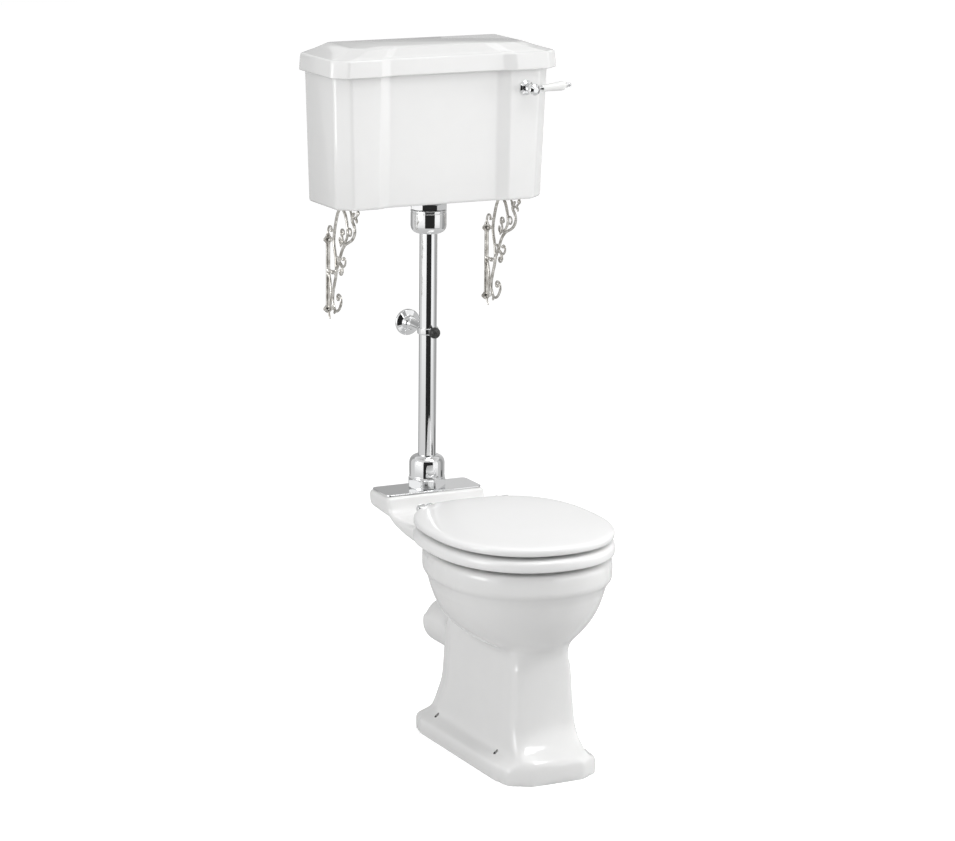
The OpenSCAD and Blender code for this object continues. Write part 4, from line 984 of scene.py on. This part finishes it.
def make_clip():
    rose = turned("wall_rose_chrome", [
        (4, 0, 0), (28.5, 0, 0), (28.5, 2.6, 1.2), (26.4, 4.6, 1.4), (16.4, 7.8, 1.6), (14.5, 9.4, 0.8),
        (14.5, 20, 1.6), (4, 20, 0)], (0, WALL_Y, CLIP_Z), "-Y")
    present_chrome(rose, "wall_rose")
    stem = turned("clip_stem_chrome", [
        (0, 0, 0), (11.5, 0, 0.6), (11.5, 5.4, 1.4), (9.5, 7, 0.8), (9.5, 54.2, 0.6), (8.6, 57.4, 0.4),
        (0, 57.4, 0)], (0, WALL_Y - 20, CLIP_Z), "-Y", 64)
    present_chrome(stem, "clip_stem")
    band = turned("clip_band_chrome", [
        (19.2, 0, 0), (21.6, 0, 0.6), (22.5, 1.8, 0.5), (22.5, BAND_H - 1.8, 0.5), (21.6, BAND_H, 0.6),
        (19.2, BAND_H, 0)], (0, PIPE_Y, CLIP_Z - BAND_H / 2))
    cuts = bmesh.new()
    rod(cuts, (0, PIPE_Y - 30, CLIP_Z), (0, PIPE_Y, CLIP_Z), 5.2, 32)
    for side in (-1, 1):
        bmesh.ops.create_cube(cuts, size=1, matrix=Matrix.Translation((22 * side, PIPE_Y, CLIP_Z))
                              @ Matrix.Diagonal((8, 0.5, 20, 1)))
    combine(band, solid(cuts))
    present_chrome(band, "clip_ring")
    turns = [math.radians(a) for a in range(36, 178, 5)]
    skin = [(STOP_R * math.sin(t), STOP_R - STOP_R * math.cos(t), 0) for t in turns]
    socket = [(0, 2 * STOP_R, 0), (0, 13.2, 0), (2.6, 13.2, 0)]
    ball = turned("rubber_ball", [(2.6, 2.2, 0.3), (6.4, 2.2, 0.4)] + skin + socket,
                  (0, STOP_Y + STOP_R, CLIP_Z), "-Y", 64)
    present(ball, "fixed_parts", rubber, "black_rubber", "rubber_stop", crease=40)


make_clip()

# Cistern brackets
# Cast scrollwork, nickel plated and a little aged. Round strands run into each
# other with soft fillets, and small leaves and eyes end the scrolls.

BRACKET_X = 187
BAR_FOOT_Z = 854
BAR_H = 168
BOSS_HEIGHTS = (8, 156)
BOSS_BORE = 5.5
WAIST_H = 90
STRAP_HEIGHTS = (239.2, 241.9)
SCROLL_TOP = 237
BRACKET_VOXEL = 0.9
# What melting takes off a strand's radius.
MELT_LOSS = 0.1
# Strands are points of distance from the wall and height above the bar's foot, then both radii.
STRANDS = [
    ([(68, 237), (50, 217), (38, 188), (32, 160), (36, 140), (42, 122), (44, 96)], 3.4, 3.0),
    ([(68, 237), (87, 223), (98, 202), (101, 186), (97, 174), (88, 164)], 3.4, 2.8),
    ([(132, 231), (122, 216), (133, 204), (136, 192), (130, 180), (118, 171), (102, 164), (87, 157),
      (75, 146), (66, 132), (60, 120), (52, 108), (44, 96)], 3.2, 3.2),
    ([(44, 96), (41, 81), (33, 61), (27, 39), (29, 23), (40, 10), (56, 14), (67, 27), (69, 37), (64, 45),
      (55, 47), (49, 42), (52, 35), (57, 37)], 3.4, 2.4),
    ([(8, 84), (15, 66), (18, 44), (17, 24), (11, 8)], 2.8, 2.4),
    ([(58, 118), (72, 108), (76, 98), (68, 91), (61, 95), (65, 101)], 2.8, 2.0),
    ([(64, 116), (78, 110), (88, 116), (89, 125), (82, 130), (78, 124)], 2.8, 2.0),
    ([(88, 164), (72, 156), (64, 150)], 2.4, 1.6),
    ([(76, 160), (74, 172), (68, 178), (70, 187), (79, 188), (83, 181), (77, 179)], 2.6, 2.0),
    ([(132, 231), (122, 225), (114, 233), (108, 238)], 2.6, 2.2),
    ([(122, 216), (138, 222), (146, 227), (156, 234), (150, 238)], 2.6, 2.0),
    ([(4, 164), (3, 176), (9, 185), (18, 185), (21, 177)], 2.6, 2.2),
    ([(6, 4), (9, -4), (14, -12)], 2.6, 1.6),
    ([(111 + 8 * math.cos(math.pi * k / 4), 188 + 8 * math.sin(math.pi * k / 4)) for k in range(9)],
     2.0, 2.0)]
EYES = [(57, 38), (65, 99), (79, 126), (78, 180), (20, 178), (150, 234)]
# Leaves are a foot, a tip and a half width, in the same plane.
LEAVES = [
    ((66, 152), (60, 170), 4), ((88, 164), (84, 150), 3.5), ((124, 218), (118, 231), 4),
    ((140, 224), (147, 212), 3.5), ((40, 12), (34, 2), 3.5), ((60, 120), (50, 128), 3)]


def aged_nickel():
    """Nickel over cast metal: a soft sheen that has dulled and yellowed in patches."""
    made, f = material("aged_nickel")
    cloud = f.noise(70.0, 5.0)
    sand = f.noise(700.0, 2.0)
    patches = f.ramp(cloud, (0.35, 0.0), (0.65, 1.0))
    f.coat(Base_Color=f.blend(patches, (0.42, 0.4, 0.365, 1), (0.85, 0.83, 0.79, 1)), Metallic=1.0,
           Roughness=0.12 + 0.14 * cloud, Normal=f.relief(0.2, 0.0003, sand + 1.5 * cloud))
    return made


nickel = aged_nickel()


def strand(bm, points, thick, thin, sides=12):
    """Round strand that follows a smooth curve in the plane of Y and Z and thins towards its end."""
    curve = [Vector(p) for p in smooth_rows(points, 5)]
    last = len(curve) - 1
    turns = [2 * math.pi * k / sides for k in range(sides)]
    rings = []
    for i, (y, z) in enumerate(curve):
        along = (curve[min(i + 1, last)] - curve[max(i - 1, 0)]).normalized()
        r = MELT_LOSS + thick + (thin - thick) * i / last
        rings.append([
            Vector((r * math.cos(t), y - along.y * r * math.sin(t), z + along.x * r * math.sin(t)))
            for t in turns])
    loft(bm, rings)


def blob(bm, place, size, turn=0):
    """Ball stretched to a size of (x, y, z) and turned about X."""
    shape = Matrix.Translation(place) @ Matrix.Rotation(turn, 4, "X") @ Matrix.Diagonal((*size, 1))
    bmesh.ops.create_uvsphere(bm, u_segments=20, v_segments=12, radius=1, matrix=shape)


def add_scrolls(bm):
    for points, thick, thin in STRANDS:
        strand(bm, points, thick, thin)
    for y, z in EYES:
        blob(bm, (0, y, z), (4.2, 3.8, 3.8))
    for foot, tip, half_w in LEAVES:
        foot = Vector(foot)
        way = Vector(tip) - foot
        turn = math.atan2(way.y, way.x)
        blob(bm, (0, *(foot + way / 2)), (half_w, way.length / 2, 2.2), turn)
        blob(bm, (0, *(foot + way * 0.75)), (1.2, way.length * 0.3, 3), turn)


def add_knop(bm):
    """Turned knop that ties the waist to the bar, and two beads higher up on the strands."""
    rod(bm, (0, 3, WAIST_H), (0, 44, WAIST_H), 5.5, 16)
    for y, size in ((12, 4.6), (18, 3.6), (26, 5.2), (34, 3.6), (40, 4.8)):
        blob(bm, (0, y, WAIST_H), (size, 2.6, size))
    for y, z, length in ((44, 96, 3.2), (88, 158, 2.6)):
        blob(bm, (0, y, z), (4.6, 4.6, length))


def add_wall_bar(bm):
    """Bar with round edges, and a boss with two ears at each screw."""
    section = rounded([(-4.5, 0.1, 0.4), (4.5, 0.1, 0.4), (4.5, 5.8, 2), (-4.5, 5.8, 2)], 3)
    loft(bm, [at_height(section, z) for z in (0, BAR_H)])
    for z in BOSS_HEIGHTS:
        spin(bm, [
            (0, 0, 0), (9, 0, 0.3), (9, 4, 1.2), (7.4, 6.4, 1), (5.6, 7.2, 0.5), (4.6, 8, 0.4),
            (0, 8, 0)], (0, 0, z), "Y", 32)
        for side in (-1, 1):
            blob(bm, (8.2 * side, 4, z), (3.8, 3.6, 4))


def add_strap(bm):
    """Flat strap under the cistern."""
    section = rounded([(-7, 58, 3), (7, 58, 3), (7, 152, 3), (-7, 152, 3)], 4)
    loft(bm, [at_height(section, z) for z in STRAP_HEIGHTS])


def make_brackets():
    bm = bmesh.new()
    add_scrolls(bm)
    add_knop(bm)
    add_wall_bar(bm)
    add_strap(bm)
    bm.transform(Matrix.Translation((0, WALL_Y, BAR_FOOT_Z)) @ Matrix.Diagonal((1, -1, 1, 1)))
    bmesh.ops.reverse_faces(bm, faces=bm.faces)
    cast = solid(bm, "bracket")
    melt(cast, BRACKET_VOXEL)
    bm = bmesh.new()
    bm.from_mesh(cast.data)
    for _ in range(3):
        smooth(bm, [v for v in bm.verts if v.co.z < (BAR_FOOT_Z + SCROLL_TOP) * MM])
    bm.to_mesh(cast.data)
    bm.free()
    holes = bmesh.new()
    for z in (BAR_FOOT_Z + h for h in BOSS_HEIGHTS):
        rod(holes, (0, WALL_Y + 1, z), (0, WALL_Y - 12, z), BOSS_BORE, 32)
        rod(holes, (0, WALL_Y - 5.5, z), (0, WALL_Y - 9, z), BOSS_BORE, 32, 9)
    combine(cast, solid(holes))
    for name, x, node in (("scroll_bracket_left", -BRACKET_X, "left_bracket"),
                          ("scroll_bracket_right", BRACKET_X, "right_bracket")):
        mesh = cast.data.copy()
        mesh.transform(Matrix.Translation((x * MM, 0, 0)))
        present(add_object(name, mesh), "fixed_parts", nickel, "aged_nickel", node, crease=50)
    bpy.data.objects.remove(cast)


make_brackets()

# Flush lever
# A chromed escutcheon and hub, a flared collar, and a white china grip held by
# a long chromed screw with a small ball at its end.

LEVER_FACE_Y = 285.11
HUB_Y = LEVER_FACE_Y - 34
DROOP = math.radians(-4)
ON_HANDLE = Matrix.Translation((LEVER_X, HUB_Y, LEVER_Z)) @ Matrix.Rotation(DROOP, 4, "Y")
TIP_R = 4.5
GRIP_WHITE = (0.88, 0.88, 0.87, 1)


def on_handle(name, profile, steps=64):
    """Turned piece that lies along the tilted handle."""
    bm = bmesh.new()
    spin(bm, profile, (0, 0, 0), "X", steps)
    bm.transform(ON_HANDLE)
    return solid(bm, name)


def make_lever():
    shield = turned("lever_shield", [
        (8.8, 0, 0), (15.5, 0, 0), (15.5, 1.8, 0.7), (14.3, 2.5, 0.4), (10.9, 4.9, 0.6), (8.8, 5, 0.1)],
        (LEVER_X, LEVER_FACE_Y - 0.5, LEVER_Z), "-Y", 64)
    present_chrome(shield, "lever_escutcheon")
    hub = turned("lever_hub_chrome", [
        (7.5, 0, 0), (10.6, 0, 0.5), (11, 1.8, 0.7), (10.1, 3.2, 0.5), (11, 4.6, 0.7), (12, 8, 3),
        (12, 19, 2.4), (6.4, 22.4, 0.6), (5.6, 23, 0.3), (0, 23, 0), (0, 2, 0), (7.5, 2, 0)],
        (LEVER_X, HUB_Y + 12, LEVER_Z), "-Y", 64)
    combine(hub, on_handle("collar", [
        (0, 8, 0), (5, 8, 0), (4.3, 11.5, 1), (4.1, 13, 0.8), (8.1, 18.6, 1.4), (8.5, 20, 0.3),
        (2.5, 20, 0.2), (2.5, 17, 0), (0, 17, 0)]), "UNION")
    present(hub, "flush_handle", chrome, "polished_chrome", "lever_hub")
    grip = on_handle("lever_grip_china", [
        (2.6, 20, 0), (7.4, 20, 1), (7.9, 21.5, 1), (7.5, 26, 8), (8.7, 46, 30), (9.95, 66, 6),
        (8.6, 71, 2.5), (5.7, 72.8, 1), (4.9, 74, 0.5), (4.9, 76, 0.4), (2.6, 76, 0)])
    present(grip, "flush_handle", grip_finish, "china_grip", "lever_grip")
    turns = [math.radians(a) for a in range(-54, 85, 9)]
    ball = [(TIP_R * math.cos(t), 83.5 + TIP_R * math.sin(t), 0) for t in turns]
    screw = [(0, 17.2, 0), (2.4, 17.2, 0), (2.4, 76, 0), (5.5, 76, 0.6), (5.5, 78.4, 1), (3.4, 79.6, 0.5)]
    tip = on_handle("lever_tip_chrome", screw + ball + [(0, 88, 0)])
    present(tip, "flush_handle", chrome, "polished_chrome", "lever_tip")


grip_finish = glazed_china("china_grip", GRIP_WHITE)
make_lever()

# Buffers and hinges
# Moulded buffers under the ring and the lid, and chromed hinge posts, knuckles
# and rod behind them. The washers below are rubber and the wing nuts plastic.

LID_FOOT_H = 7.95


def white_rubber():
    """White moulded rubber, matt, with a little dirt in its grain."""
    made, f = material("white_rubber")
    grain = f.noise(500.0, 3.0)
    f.coat(Base_Color=f.blend(grain, (0.74, 0.74, 0.72, 1), (0.86, 0.86, 0.85, 1)),
           Roughness=0.45 + 0.15 * grain, Normal=f.relief(0.1, 0.0003, grain))
    return made


def white_plastic():
    """White moulded plastic with a low gloss and a fine moulded grain."""
    made, f = material("white_plastic")
    cloud = f.noise(35.0, 3.0)
    grain = f.noise(600.0, 2.0)
    f.coat(Base_Color=f.blend(cloud, (0.82, 0.82, 0.8, 1), (0.88, 0.88, 0.87, 1)),
           Roughness=0.3 + 0.12 * cloud, Normal=f.relief(0.06, 0.0003, grain))
    return made


def gunmetal():
    """Cast and turned copper alloy, browned in patches, with fine tool marks."""
    made, f = material("gunmetal")
    cloud = f.noise(45.0, 5.0)
    marks = f.noise(800.0, 2.0)
    f.coat(Base_Color=f.blend(cloud, (0.42, 0.27, 0.12, 1), (0.78, 0.58, 0.32, 1)), Metallic=1.0,
           Roughness=0.28 + 0.16 * cloud, Normal=f.relief(0.15, 0.0002, marks))
    return made


def dress(finish, *names):
    """Puts a finish on CAD nodes whose shape stays as it is."""
    for name in names:
        for place in nodes[name].material_slots:
            place.material = finish


soft_white = white_rubber()
plastic = white_plastic()
bronze = gunmetal()


def four_places(share, front_y, back_y):
    """Two places near the front and two near the back, at a share of the seat's half width."""
    half_ws = ((SEAT_HALF_W * share * 0.86, front_y), (SEAT_HALF_W * share * 0.9, back_y))
    return [(side * half_w, y) for side in (-1, 1) for half_w, y in half_ws]


def make_buffers(name, body, node, places, z, height, d):
    bm = bmesh.new()
    r = d / 2
    for x, y in places:
        spin(bm, [
            (0, 0, 0), (r - 1, 0, 0.6), (r, 1.4, 0.8), (r, height - 2, 0.6), (r - 1.6, height, 0.8),
            (1.6, height, 0), (0, height, 0)], (x, y, z), "Z", 32)
    present(solid(bm, name), body, soft_white, "white_rubber", node)


make_buffers("ring_feet", "ring", "ring_buffers", four_places(0.77, -149.85, 90.125),
             RIM_Z, RING_Z - RIM_Z, 18)
make_buffers("lid_feet", "cover", "cover_buffers", four_places(0.745, -140.4, 80.5),
             COVER_Z - LID_FOOT_H, LID_FOOT_H, 12)
dress(chrome, "ring_hinge_plates", "cover_hinge_plates", "hinge_rod", "hinge_posts", "hinge_bolts",
      "lever_spindle", "lever_bush", "stop_screw")
dress(rubber, "pan_inlet_seal", "pipe_joint_washer", "tail_outer_washer", "cistern_spacers",
      "siphon_washer", "inlet_washer", "hinge_washers")
dress(plastic, "siphon_body", "siphon_diaphragm", "float_ball", "hinge_wing_nuts")
dress(bronze, "lift_rod", "lift_link", "lever_lock_nut", "lift_arm", "inlet_valve", "inlet_nut",
      "valve_piston", "float_pin", "float_arm")
